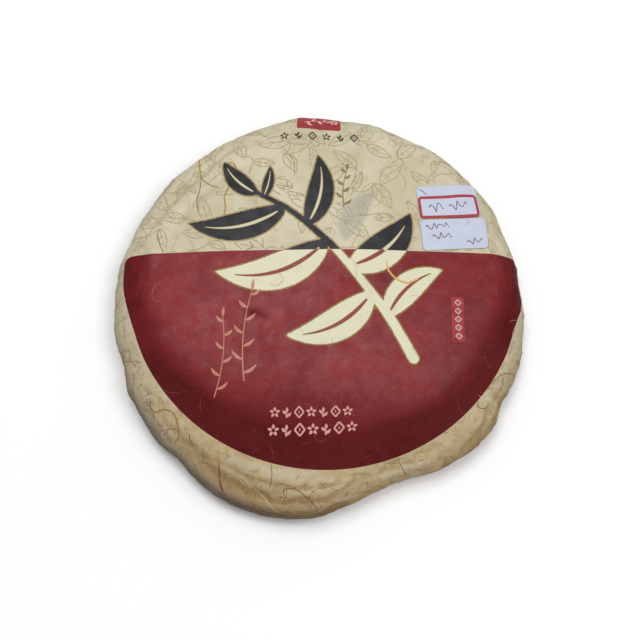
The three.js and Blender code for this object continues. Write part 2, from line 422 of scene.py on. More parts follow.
class PaperColours(bpy.types.PropertyGroup):
    """The paper's and the print's colours."""

    cream: colour_of("Cream", "Printed ground", 203, 195, 168)
    cream_shade: colour_of("Cream shade", "Darker patches of the ground", 190, 181, 152)
    tissue: colour_of("Tissue", "Bare paper at the near side", 192, 174, 140)
    # Partly a painted sheen on the far side; also mixed in as a painted highlight on the crests of folds.
    tissue_grey: colour_of("Grey tissue", "Bare paper at the far side", 192, 183, 160)
    # Painted shade: the grey multiplied into the paper past the shoulder.
    outer_shade: colour_of("Outer shade", "Tint of the paper past the shoulder", 150, 148, 144)
    # The wall's golden tone, multiplied in as painted shade on the near wall.
    outer_gold: colour_of("Outer gold", "Tint of the wall at the near side", 182, 156, 116)
    # Painted shade at the foot of the wall.
    low_shade: colour_of("Low shade", "Grey foot of the wall", 92, 86, 86)
    # Tea that shows through, and also painted shade in the hollows of folds.
    tissue_shade: colour_of("Tissue shade", "Bare paper where the tea shows through", 160, 134, 90)
    red: colour_of("Red", "Printed field", 136, 43, 46)
    red_shade: colour_of("Red shade", "Darker patches of the field", 118, 35, 38)
    black: colour_of("Black", "Brush strokes on the cream", 44, 44, 48)
    glyph_cream: colour_of("Pale ink", "Brush strokes on the red", 212, 208, 180)
    gold: colour_of("Gold", "Edges and ribs of the brushed leaves", 146, 118, 54)
    copper: colour_of("Copper", "Small sprigs on the red", 184, 120, 98)
    olive: colour_of("Olive", "Small sprigs on the cream", 128, 108, 58)
    wash: colour_of("Wash", "Soft grey leaf", 150, 147, 138)
    line: colour_of("Line", "Leaf pattern's lines", 164, 150, 116)
    pink: colour_of("Pink", "Small ornaments on the red", 204, 145, 138)
    seal: colour_of("Seal", "Red tabs", 148, 40, 50)
    seal_mark: colour_of("Seal mark", "Pale marks on the red tabs", 222, 176, 168)
    fibre_gold: colour_of("Gold fibre", "Thick bast fibres", 158, 120, 50)
    fibre_amber: colour_of("Amber fibre", "The brightest bast fibre", 206, 156, 74)
    fibre_straw: colour_of("Straw fibre", "The palest bast fibre", 178, 164, 100)
    fibre_olive: colour_of("Olive fibre", "Greenish bast fibres", 132, 104, 46)
    fibre_bronze: colour_of("Bronze fibre", "Dark bast fibres", 100, 60, 18)
    fibre_brown: colour_of("Brown hair", "Thin dark fibres", 98, 66, 36)
    # Pale strands, and a painted highlight along the crest of a fold.
    fibre_flax_and_highlight: colour_of("Flax fibre", "Pale fibres on the folds", 198, 184, 150)
    fibre_pale: colour_of("Pale hair", "Thin fibres under the red", 150, 72, 68)
    label: colour_of("Label", "Stick-on labels", 191, 196, 214)
    frame: colour_of("Label frame", "Printed frame on the upper label", 158, 40, 48)
    pen: colour_of("Pen", "Pen strokes on the labels", 44, 44, 50)
    floor: colour_of("Floor", "Ground that the cake lies on", 250, 250, 250)


class LabelSizes(bpy.types.PropertyGroup):
    """The stick-on labels."""

    thickness: size_of("Thickness", "Thickness of a label", 0.16)
    gap: size_of("Gap", "Clear height under a label", 0.3)
    corner: size_of("Corner", "Radius of the corners", 1.8)


class StageSettings(bpy.types.PropertyGroup):
    """The camera and the lights."""

    elevation: FloatProperty(
        name="Elevation",
        description="Angle of the camera above the floor",
        default=math.radians(74),
        subtype="ANGLE",
    )
    distance: size_of("Distance", "From the camera to the cake", 500)
    drop: size_of("Drop", "How far below the cake's middle the camera aims", 5.9)
    lens: FloatProperty(name="Lens", description="Focal length in millimetres", default=61.875)
    softbox_power: FloatProperty(
        name="Softbox", description="Power of the big softbox", default=16, unit="POWER"
    )
    window_power: FloatProperty(
        name="Window",
        description="Power of the light that the print reflects",
        default=24,
        unit="POWER",
    )
    sky: FloatProperty(name="Sky", description="Strength of the even light", default=0.42)


def smooth(x, low, high):
    """0 below low, 1 above high, and the cubic 3t^2 - 2t^3 between them."""
    t = np.clip((x - low) / (high - low), 0, 1)
    return t * t * (3 - 2 * t)


def bell(x):
    """A bell curve of height 1: e to the minus x squared."""
    return np.exp(-x * x)


def valley(x):
    """A sharp fold's profile: e to the minus 1.5 times the distance from its line."""
    return np.exp(-1.5 * np.abs(x))


def degrees_apart(a, b):
    """The angle from b to a, from -180 to 180."""
    return (a - b + 180) % 360 - 180


def unit(angle):
    """The step of length 1 in the direction of an angle."""
    return np.array([math.cos(angle), math.sin(angle)])


def value_noise(x, y, seed, around=64, high=64):
    """Random values at the whole numbers, blended between the four nearest by smooth weights.
    It repeats after around cells of x and high cells of y."""
    values = np.random.default_rng(seed).uniform(-1, 1, (around, high))
    left = np.floor(x).astype(int)
    low = np.floor(y).astype(int)
    across = smooth(x - left, 0, 1)
    up = smooth(y - low, 0, 1)
    here = [values[(left + i) % around, (low + j) % high] for j in (0, 1) for i in (0, 1)]
    lower = here[0] * (1 - across) + here[1] * across
    upper = here[2] * (1 - across) + here[3] * across
    return lower * (1 - up) + upper * up


def ridges(x, y, seed, around=64):
    """Sharp crests: 1 minus twice the size of a smooth noise."""
    return 1 - 2 * np.abs(value_noise(x, y, seed, around))


def bezier(points, count):
    """A cubic curve from its four control points, weighted (1-t)^3, 3t(1-t)^2, 3t^2(1-t), t^3."""
    t = np.linspace(0, 1, count)[:, None]
    a, b, c, d = np.array(points, float)
    return (1 - t) ** 3 * a + 3 * t * (1 - t) ** 2 * b + 3 * t * t * (1 - t) * c + t**3 * d


def through(points, step):
    """A smooth path through points: Catmull-Rom, each stretch the cubic whose slope at a point is
    half the way between its neighbours, resampled evenly by length."""
    p = np.array(points, float)
    p = np.vstack([2 * p[0] - p[1], p, 2 * p[-1] - p[-2]])
    stretches = []
    for a, b, c, d in zip(p, p[1:], p[2:], p[3:]):
        stretches.append(bezier([b, b + (c - a) / 6, c - (d - b) / 6, c], 12)[:-1])
    path = np.vstack([*stretches, p[-2:-1]])
    along = np.r_[0, np.cumsum(np.hypot(*np.diff(path, axis=0).T))]
    even = np.linspace(0, along[-1], max(3, int(along[-1] / step) + 1))
    return np.stack([np.interp(even, along, path[:, k]) for k in (0, 1)], 1)


def bowed(base, tip, bow, share):
    """Points of a bowed line at shares of its length: straight from base to tip, pushed to the left
    by bow times the parabola 4t(1-t). Also gives the unit vectors to its left."""
    base = np.array(base, float)
    tip = np.array(tip, float)
    along = tip - base
    left = np.array([-along[1], along[0]]) / np.hypot(*along)
    t = np.asarray(share)[:, None]
    points = base + along * t + left * (4 * bow * t * (1 - t))
    slope = along + left * (4 * bow * (1 - 2 * t))
    sides = np.stack([-slope[:, 1], slope[:, 0]], 1)
    return points, sides / np.linalg.norm(sides, axis=1, keepdims=True)


def nearest_on(places, path):
    """Distance of each place from a path, and the share of the path where it comes nearest."""
    nearest = np.full(len(places), 1e3)
    share = np.zeros(len(places))
    for number, point in enumerate(path):
        off = np.hypot(places[:, 0] - point[0], places[:, 1] - point[1])
        share[off < nearest] = number / (len(path) - 1)
        np.minimum(nearest, off, out=nearest)
    return nearest, share


def blade(share):
    """A leaf's half width along its midrib, as a share of the widest: a sine, fullest near the base."""
    return np.sin(math.pi * np.clip(share, 0, 1) ** 0.8) ** 0.9


def wandering(start, heading, length, turn, rng):
    """A winding path: steps whose heading drifts at random."""
    steps = max(4, int(length / 0.8))
    headings = heading + np.cumsum(rng.normal(turn, 0.16, steps))
    path = np.cumsum(np.stack([np.cos(headings), np.sin(headings)], 1) * length / steps, 0)
    return np.vstack([start, start + path])


def small_creases():
    """Short creases of the paper round the rim, as breadth, height and path. They run down the wall,
    and along it on the near bulge."""
    rng = np.random.default_rng(12)
    creases = []
    for _ in range(SMALL_CREASES):
        bearing = rng.uniform(LABELS_END, TURN + LABELS_START)
        start = rng.uniform(80, 106) * unit(bearing)
        on_bulge = abs(degrees_apart(math.degrees(bearing), 252)) < 36
        heading = bearing + rng.normal(0, 0.4) + (math.pi / 2 if on_bulge else 0)
        path = wandering(start, heading, rng.uniform(6, 20), 0, rng)
        height = rng.uniform(-0.42, -0.14) if rng.random() < 0.6 else rng.uniform(0.1, 0.32)
        creases.append((rng.uniform(0.55, 1.1), height, path))
    return creases


class Sheet:
    """The paper's surface, in millimetres, worked out from the sizes."""

    def __init__(self, sizes):
        self.sizes = sizes
        self.lay_section()
        self.shift = np.zeros(3)
        rim = self.points(np.linspace(0, TURN, 720), np.full(720, self.ends["shoulder"]), fine=False)
        middle = (np.array(CAKE_LOW) + np.array(CAKE_HIGH)) / 2 / MM
        self.shift[:2] = middle[:2] - (rim.max(0) + rim.min(0))[:2] / 2
        self.lay_grid()

    def lay_section(self):
        """Six cubic curves of radius and height, each from the end of the one before, measured
        along their length."""
        s = self.sizes
        curves = {
            "crown": [(30, s.crown_height), (62, 23.6), (s.shoulder_radius, s.shoulder_height)],
            "shoulder": [(86, 19.4), (93.1, 15), (s.rim_radius, s.rim_height)],
            "wall": [(94, 4.5), (91, 0), (s.base_radius, 0)],
            "base": [(68, 0), (51, 0), (s.dish_radius, 0)],
            "dish": [(28, 0), (26, s.dish_depth), (s.knot_radius, s.dish_depth)],
            "knot": [(12, s.dish_depth), (8, s.knot_tip), (0, s.knot_tip)],
        }
        start = (0, s.crown_height)
        stretches = []
        for points in curves.values():
            stretches.append(bezier([start, *points], CURVE_STEPS)[:-1])
            start = points[-1]
        self.section = np.vstack([*stretches, [start]])
        self.along = np.r_[0, np.cumsum(np.hypot(*np.diff(self.section, axis=0).T))]
        self.ends = {
            name: self.along[number * (CURVE_STEPS - 1)] for number, name in enumerate(curves, start=1)
        }

    def mean(self, distance):
        """Radius and height of the section, and its outward normal: the slope turned to the left."""
        radius, height = (np.interp(distance, self.along, column) for column in self.section.T)
        ahead = np.clip(distance + 0.2, 0, self.along[-1])
        behind = np.clip(distance - 0.2, 0, self.along[-1])
        slope = [np.interp(ahead, self.along, c) - np.interp(behind, self.along, c) for c in self.section.T]
        size = np.hypot(*slope)
        return radius, height, -slope[1] / size, slope[0] / size

    def rim(self, angle):
        """The rim's radius: the mean radius and the bumps, cut to short flat runs like a polygon's."""
        bearing = np.degrees(angle)
        radius = np.full_like(bearing, self.sizes.rim_radius)
        for at, width, push in OUTLINE_BUMPS:
            radius = radius + push * bell(degrees_apart(bearing, at) / width)
        uneven = angle + 0.1 * np.sin(2 * angle + 0.5) + 0.05 * np.sin(5 * angle)
        run = (uneven / TURN * FLAT_RUNS) % 1
        half = math.pi / FLAT_RUNS
        flat = math.cos(half) / np.cos(np.abs(run - 0.5) * 2 * half)
        return radius * (1 + FLAT_SHARPNESS * (flat - MEAN_FLAT))

    def spread(self, angle, distance):
        """How far the plan is stretched towards the rim's outline: not at all near the middle."""
        radius = self.mean(distance)[0]
        reach = smooth(radius, OUTLINE_REACH * self.sizes.rim_radius, self.sizes.rim_radius)
        return 1 + (self.rim(angle) / self.sizes.rim_radius - 1) * reach

    def printed(self, places):
        """Where places of the flat map fall on the print, which is stretched with the outline."""
        right, away = places.T
        return places * self.spread(np.arctan2(away, right), np.hypot(right, away))[:, None]

    def spiral(self, distance):
        """How far the pleats have wound: a share of the natural log of rim radius over radius."""
        radius = self.mean(distance)[0]
        core = 5
        inward = np.log((self.sizes.rim_radius + core) / (radius + core))
        wound = self.sizes.pleat_spiral * np.maximum(0, inward)
        return np.where(distance > self.ends["shoulder"], wound, 0)

    def lumps(self, right, away):
        """Low lumps of the tea: a sum of three crossed waves."""
        return (
            np.sin(right / 17 + 0.6) * np.sin(away / 14 - 1.1)
            + 0.6 * np.sin(right / 9 - away / 12 + 2)
            + 0.4 * np.sin(right / 6.5 + 1.7) * np.sin(away / 7.5 + 0.4)
        )

    def relief(self, angle, distance):
        """How far the sheet stands out of its section: lumps on the face, bell-shaped creases and
        tucks, and pleats that rise from a pressed edge as a saw's teeth do."""
        crown, shoulder, wall, _, dish, knot = self.ends.values()
        bearing = np.degrees(angle)
        right, away = distance * np.cos(angle), distance * np.sin(angle)
        out = self.sizes.lump_height * self.lumps(right, away) * (1 - smooth(distance, crown - 8, shoulder))
        for at, width, place, breadth, height in CREASES:
            out = out + height * bell(degrees_apart(bearing, at) / width) * bell(
                (distance - place) / breadth
            )
        tucked = smooth(distance, crown, shoulder) * (1 - smooth(distance, shoulder, wall))
        for at, width, depth in TUCKS:
            out = out - depth * tucked * bell(degrees_apart(bearing, at) / width)
        pleated = smooth(distance, shoulder + 4, wall) * (1 - smooth(distance, dish, knot))
        share = ((angle - self.spiral(distance)) / TURN * self.sizes.pleats + 1e-6) % 1
        return out - pleated * self.sizes.pleat_lift * np.maximum(0, (share - 0.3) / 0.7)

    def fine_relief(self, angle, distance):
        """The paper's own relief: pressed leaves as noise, crumples as ridged noise, gathers down
        the wall as ridges round it, and folds across a line: bells where they rise, and sharp
        valleys where they sink."""
        s = self.sizes
        crown, shoulder, wall, base, dish, knot = self.ends.values()
        right, away = distance * np.cos(angle), distance * np.sin(angle)
        leaves = value_noise(right / 5.5, away / 4.5, 3) + 0.4 * value_noise(right / 2.6, away / 2.9, 4)
        leaves = leaves + 1.2 * value_noise(right / 13, away / 12, 10)
        out = s.leaf_height * leaves * (1 - smooth(distance, crown, shoulder + 10))
        wound = (angle - self.spiral(distance)) / TURN
        rolled = ridges(wound * 46 + 0.2 * leaves, distance / 3.6, 5, 46)
        crumple = 0.7 * rolled + 0.5 * ridges(right / 3.4 + 0.4 * leaves, away / 3.1, 6)
        crumpled = smooth(distance, crown - 8, crown + 8) * (1 - 0.6 * smooth(distance, wall, base))
        out = out + s.crumple_height * (0.12 + 0.88 * crumpled) * (crumple - 0.5)
        gathers = ridges(wound * 90, distance / 16, 7, 90) + 0.5 * ridges(wound * 190, distance / 9, 8, 190)
        gathered = smooth(distance, crown + 10, shoulder + 4) * (1 - 0.7 * smooth(distance, wall, wall + 12))
        out = out + s.gather_height * gathered * (gathers - 0.7)
        winding = 0.5 * value_noise(right / 5, away / 5, 9)
        places = np.stack([(right + winding).ravel(), (away - winding).ravel()], 1)
        folded = np.zeros(len(places))
        named = [(breadth, height, through(goal, 0.7)) for breadth, height, goal in FOLDS]
        for breadth, height, path in named + small_creases():
            near = np.all((places > path.min(0) - 3 * breadth) & (places < path.max(0) + 3 * breadth), 1)
            off, share = nearest_on(places[near], path)
            inside = smooth(share, 0, 0.25) * (1 - smooth(share, 0.75, 1))
            profile = valley if height < 0 else bell
            folded[near] += height * inside * profile(off / breadth)
        out = out + folded.reshape(out.shape) * (distance < base)
        twisted = smooth(distance, dish - 4, dish + 5) * (1 - smooth(distance, dish + 8, knot))
        return out + 0.8 * twisted * np.sin(5 * (angle - 1.3 * self.spiral(distance)))

    def points(self, angle, distance, fine=True):
        """Points of the sheet: the section turned round, stretched to the rim's outline, moved out
        along its normal by the relief, and pressed flat where it meets the table."""
        radius, height, out_r, out_z = self.mean(distance)
        out = self.relief(angle, distance)
        if fine:
            out = out + self.fine_relief(angle, distance)
        from_axis = (radius + out_r * out) * self.spread(angle, distance)
        heights = np.maximum(height + out_z * out, 0)
        return np.stack([from_axis * np.cos(angle), from_axis * np.sin(angle), heights], -1) + self.shift

    def lay_grid(self):
        """The sheet's points on rings and columns. Below the rim the columns wind with the pleats."""
        rings = [0]
        start = 0
        for name, steps in RING_STEPS.items():
            rings.extend(np.linspace(start, self.ends[name], steps + 1)[1:])
            start = self.ends[name]
        self.rings = np.array(rings)
        self.columns = PLEAT_STEPS * self.sizes.pleats
        turned = np.arange(self.columns) / self.columns * TURN
        self.angle = turned[None, :] + self.spiral(self.rings)[:, None]
        self.distance = np.broadcast_to(self.rings[:, None], self.angle.shape)
        self.grid = self.points(self.angle, self.distance)
        self.plain = self.points(self.angle, self.distance, fine=False)
        self.normals = self.normals_of(self.grid)
        self.plain_normals = self.normals_of(self.plain)

    def normals_of(self, grid):
        """Unit normals from the cross product of the differences out and round."""
        out = np.gradient(grid, axis=0)
        round_it = np.roll(grid, -1, 1) - np.roll(grid, 1, 1)
        normals = np.cross(out, round_it)
        normals[0] = (0, 0, 1)
        normals[-1] = (0, 0, -1)
        return normals / np.linalg.norm(normals, axis=-1, keepdims=True)

    def on_paper(self, places, lift, plain=False):
        """Points lifted off the paper at places of its flat map, blended from the grid's nearest
        four. With plain, the paper's own fine relief is left out."""
        right, away = np.asarray(places, float).T
        distance = np.hypot(right, away)
        row = np.interp(distance, self.rings, np.arange(len(self.rings)))
        column = (np.arctan2(away, right) - self.spiral(distance)) / TURN * self.columns
        j = np.minimum(np.floor(row).astype(int), len(self.rings) - 2)
        i = np.floor(column).astype(int)
        up = (row - j)[:, None]
        across = (column - i)[:, None]

        def blended(values):
            inner = values[j, i % self.columns] * (1 - across) + values[j, (i + 1) % self.columns] * across
            outer = (
                values[j + 1, i % self.columns] * (1 - across)
                + values[j + 1, (i + 1) % self.columns] * across
            )
            return inner * (1 - up) + outer * up

        grid, normals = (self.plain, self.plain_normals) if plain else (self.grid, self.normals)
        return blended(grid) + blended(normals) * np.reshape(lift, (-1, 1))


CAKE_LOW, CAKE_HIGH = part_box("wrapped_cake")
SHEET_SIZES = [name for name in CakeSizes.__annotations__ if name not in ("pleats", "pleat_spiral")]


@lru_cache(maxsize=2)
def sheet_from(lengths, pleats, pleat_spiral):
    """The sheet of these sizes, worked out once."""
    named = dict(zip(SHEET_SIZES, lengths))
    return Sheet(SimpleNamespace(**named, pleats=pleats, pleat_spiral=pleat_spiral))


def sheet_of(context):
    """The sheet that the panel's sizes give."""
    sizes = context.scene.tea_cake_sizes
    lengths = tuple(round(getattr(sizes, name) / MM, 4) for name in SHEET_SIZES)
    return sheet_from(lengths, sizes.pleats, round(sizes.pleat_spiral, 4))


def mesh_piece(name, points, faces, material, slot):
    """A smooth mesh from points in millimetres and arrays of faces, riding on the cake."""
    mesh = bpy.data.meshes.new(name)
    corners = np.concatenate([part.ravel() for part in faces]).astype(np.int32)
    counts = np.concatenate([np.full(len(part), part.shape[1]) for part in faces])
    mesh.vertices.add(len(points))
    mesh.vertices.foreach_set("co", (points * MM).astype(np.float32).ravel())
    mesh.loops.add(len(corners))
    mesh.loops.foreach_set("vertex_index", corners)
    mesh.polygons.add(len(counts))
    mesh.polygons.foreach_set("loop_start", np.r_[0, np.cumsum(counts)[:-1]].astype(np.int32))
    mesh.update(calc_edges=True)
    mesh.shade_smooth()
    mesh.materials.append(material)
    piece = bpy.data.objects.new(name, mesh)
    bpy.context.scene.collection.objects.link(piece)
    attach(piece, "root")
    return piece


def point_values(mesh, name, values):
    """A number for each point of a mesh, which its material reads by name."""
    layer = mesh.attributes.new(name, "FLOAT", "POINT")
    layer.data.foreach_set("value", values.astype(np.float32))


def ribbons(lay, strokes, lift, crown, allowed=None):
    """Strips along paths, laid by lay(places, lifts). A stroke is its path and its half width at
    each point. Each strip has its two edges at lift and its middle crown above them. Where allowed
    is given, a strip's step is left out unless both its ends are allowed."""
    places, lifts, quads = [], [], []
    first = 0
    for path, half in strokes:
        slope = np.gradient(path, axis=0)
        left = np.stack([-slope[:, 1], slope[:, 0]], 1)
        left = left / np.maximum(np.linalg.norm(left, axis=1, keepdims=True), 1e-9)
        half = np.broadcast_to(half, len(path))[:, None]
        places.append(np.stack([path - left * half, path, path + left * half], 1).reshape(-1, 2))
        lifts.append(np.tile([lift, lift + crown, lift], len(path)))
        steps = np.arange(len(path) - 1)
        if allowed is not None:
            kept = allowed(path)
            steps = steps[kept[:-1] & kept[1:]]
        row = first + 3 * steps[:, None]
        quads.append(row + [0, 3, 4, 1])
        quads.append(row + [1, 4, 5, 2])
        first += 3 * len(path)
    used, numbers = np.unique(np.vstack(quads), return_inverse=True)
    points = lay(np.vstack(places)[used], np.concatenate(lifts)[used])
    return points, numbers.reshape(-1, 4)


def ribbon_piece(lay, name, strokes, material, lift, crown=0.01, slot="wrapping_paper", allowed=None):
    """A piece of ribbons."""
    points, quads = ribbons(lay, strokes, lift, crown, allowed)
    return mesh_piece(name, points, [quads], material, slot)


def add_node(tree, kind, inputs=None, **settings):
    """A node with its settings, and its inputs set to values or linked to sockets."""
    made = tree.nodes.new(kind)
    for name, value in settings.items():
        setattr(made, name, value)
    for name, value in (inputs or {}).items():
        socket = made.inputs[name]
        if isinstance(value, bpy.types.NodeSocket):
            tree.links.new(value, socket)
        else:
            socket.default_value = value
    return made


def maths(tree, operation, a, b=0.0, c=0.0):
    """A sum, product or other operation on numbers."""
    return add_node(tree, "ShaderNodeMath", {0: a, 1: b, 2: c}, operation=operation).outputs[0]


def times(tree, a, b):
    """A product."""
    return maths(tree, "MULTIPLY", a, b)


def between(tree, value, low, high, start=0.0, end=1.0):
    """A value carried smoothly from the range low to high into the range start to end."""
    inputs = {"Value": value, 1: low, 2: high, 3: start, 4: end}
    return add_node(
        tree, "ShaderNodeMapRange", inputs, interpolation_type="SMOOTHSTEP", clamp=True
    ).outputs[0]


def noise(tree, place, scale, **inputs):
    """A smooth noise from 0 to 1."""
    inputs = {"Vector": place, "Scale": scale, **inputs}
    return add_node(tree, "ShaderNodeTexNoise", inputs).outputs["Fac"]


def object_place(tree):
    """A point's place on its own object."""
    return tree.nodes.new("ShaderNodeTexCoord").outputs["Object"]


def mixed(tree, share, a, b, blend="MIX"):
    """Two colours mixed."""
    made = tree.nodes.new("ShaderNodeMix")
    made.data_type = "RGBA"
    made.blend_type = blend
    for index, value in ((0, share), (6, a), (7, b)):
        if isinstance(value, bpy.types.NodeSocket):
            tree.links.new(value, made.inputs[index])
        elif index == 0:
            made.inputs[index].default_value = value
        else:
            made.inputs[index].default_value = (*value, 1)
    return made.outputs[2]


def new_group(name, inputs, outputs):
    """An empty shader group with numbers as inputs and outputs, and its two ends."""
    tree = bpy.data.node_groups.new(name, "ShaderNodeTree")
    for socket, value in inputs.items():
        made = tree.interface.new_socket(socket, in_out="INPUT", socket_type="NodeSocketFloat")
        made.default_value = value
    for socket in outputs:
        tree.interface.new_socket(socket, in_out="OUTPUT", socket_type="NodeSocketFloat")
    start = tree.nodes.new("NodeGroupInput")
    end = tree.nodes.new("NodeGroupOutput")
    return tree, start.outputs, end.inputs


def group_once(name, build):
    """The shader group of this name, built the first time it is wanted."""
    return bpy.data.node_groups.get(name) or build(name)


def build_grain(name):
    """Fine uneven height of pulp and short fibres, of a size in millimetres."""
    tree, given, wanted = new_group(name, {"Size": 1.0}, ["Height"])
    place = object_place(tree)
    scale = maths(tree, "DIVIDE", 1 / MM, given["Size"])
    pulp = noise(tree, place, scale, Detail=3.0, Roughness=0.6)
    warped = noise(tree, place, times(tree, scale, 0.31), Detail=2.0, Distortion=1.2)
    strand = maths(tree, "ABSOLUTE", maths(tree, "SUBTRACT", warped, 0.5))
    strand = between(tree, strand, 0.0, 0.03, 1.0, 0.0)
    tree.links.new(maths(tree, "MULTIPLY_ADD", strand, 0.35, pulp), wanted["Height"])
    return tree


def build_mottle(name):
    """Uneven patches, from 0 to 1, of a size in millimetres: broad clouds with finer ones in them,
    drawn out from side to side by Stretch."""
    tree, given, wanted = new_group(name, {"Size": 10.0, "Contrast": 1.0, "Stretch": 1.0}, ["Patches"])
    place = object_place(tree)
    squeeze = add_node(tree, "ShaderNodeCombineXYZ", {1: 1.0, 2: 1.0})
    tree.links.new(maths(tree, "DIVIDE", 1.0, given["Stretch"]), squeeze.inputs[0])
    place = add_node(
        tree, "ShaderNodeVectorMath", {0: place, 1: squeeze.outputs[0]}, operation="MULTIPLY"
    ).outputs[0]
    scale = maths(tree, "DIVIDE", 1 / MM, given["Size"])
    cloud = noise(tree, place, scale, Detail=5.0, Roughness=0.62)
    centred = maths(tree, "SUBTRACT", cloud, 0.5)
    scaled = maths(tree, "MULTIPLY_ADD", centred, given["Contrast"], 0.5)
    tree.links.new(maths(tree, "MINIMUM", maths(tree, "MAXIMUM", scaled, 0.0), 1.0), wanted["Patches"])
    return tree


def build_hairs(name):
    """Long winding hairs, 1 on a hair: where a smooth noise passes through its middle value, broken
    by a second noise. Size is the space between them in millimetres, and Width their width."""
    tree, given, wanted = new_group(name, {"Size": 12.0, "Width": 0.02}, ["Hairs"])
    place = object_place(tree)
    scale = maths(tree, "DIVIDE", 1 / MM, given["Size"])
    field = noise(tree, place, scale, Detail=1.5, Roughness=0.5, Distortion=0.8)
    near = maths(tree, "ABSOLUTE", maths(tree, "SUBTRACT", field, 0.5))
    line = maths(tree, "SUBTRACT", 1.0, maths(tree, "DIVIDE", near, given["Width"]))
    line = maths(tree, "MAXIMUM", line, 0.0)
    breaks = noise(tree, place, times(tree, scale, 1.7))
    tree.links.new(times(tree, line, between(tree, breaks, 0.46, 0.56)), wanted["Hairs"])
    return tree


def grouped(tree, name, build, **inputs):
    """A shader group's first output, with these inputs."""
    made = tree.nodes.new("ShaderNodeGroup")
    made.node_tree = group_once(name, build)
    for socket, value in inputs.items():
        made.inputs[socket].default_value = value
    return made.outputs[0]


def grain(tree, size):
    return grouped(tree, "Paper grain", build_grain, Size=size)


def mottle(tree, size, contrast=1.0, stretch=1.0):
    return grouped(tree, "Mottling", build_mottle, Size=size, Contrast=contrast, Stretch=stretch)


def hairs(tree, size, width):
    return grouped(tree, "Hairs in paper", build_hairs, Size=size, Width=width)


def new_material(name):
    """A material with its node tree and its Principled shader."""
    material = bpy.data.materials.new(name)
    material.use_nodes = True
    return material, material.node_tree, material.node_tree.nodes["Principled BSDF"]


def bumped(tree, shader, height, depth, strength=1.0):
    """Relief too fine for the mesh, its depth in millimetres."""
    inputs = {"Height": height, "Strength": strength, "Distance": depth * MM}
    bump = add_node(tree, "ShaderNodeBump", inputs)
    tree.links.new(bump.outputs["Normal"], shader.inputs["Normal"])


def value_at(tree, name):
    """A number that the mesh holds at each point."""
    return add_node(tree, "ShaderNodeAttribute", attribute_name=name).outputs["Fac"]


# What the paper's mesh holds at each point. In millimetres: how far it is inside the red field, above
# the field's top edge, inside the cream ground, and outside the big sprig. As shares: the grey wash, how
# deep it lies in a fold, the print's painted shade, and the paper's golden stain with painted shade,
# painted outer shade and painted shade at its grey foot.
PAPER_VALUES = ["field", "above", "ground", "motif", "wash", "fold", "shade", "stain_and_shade", "outer", "low"]


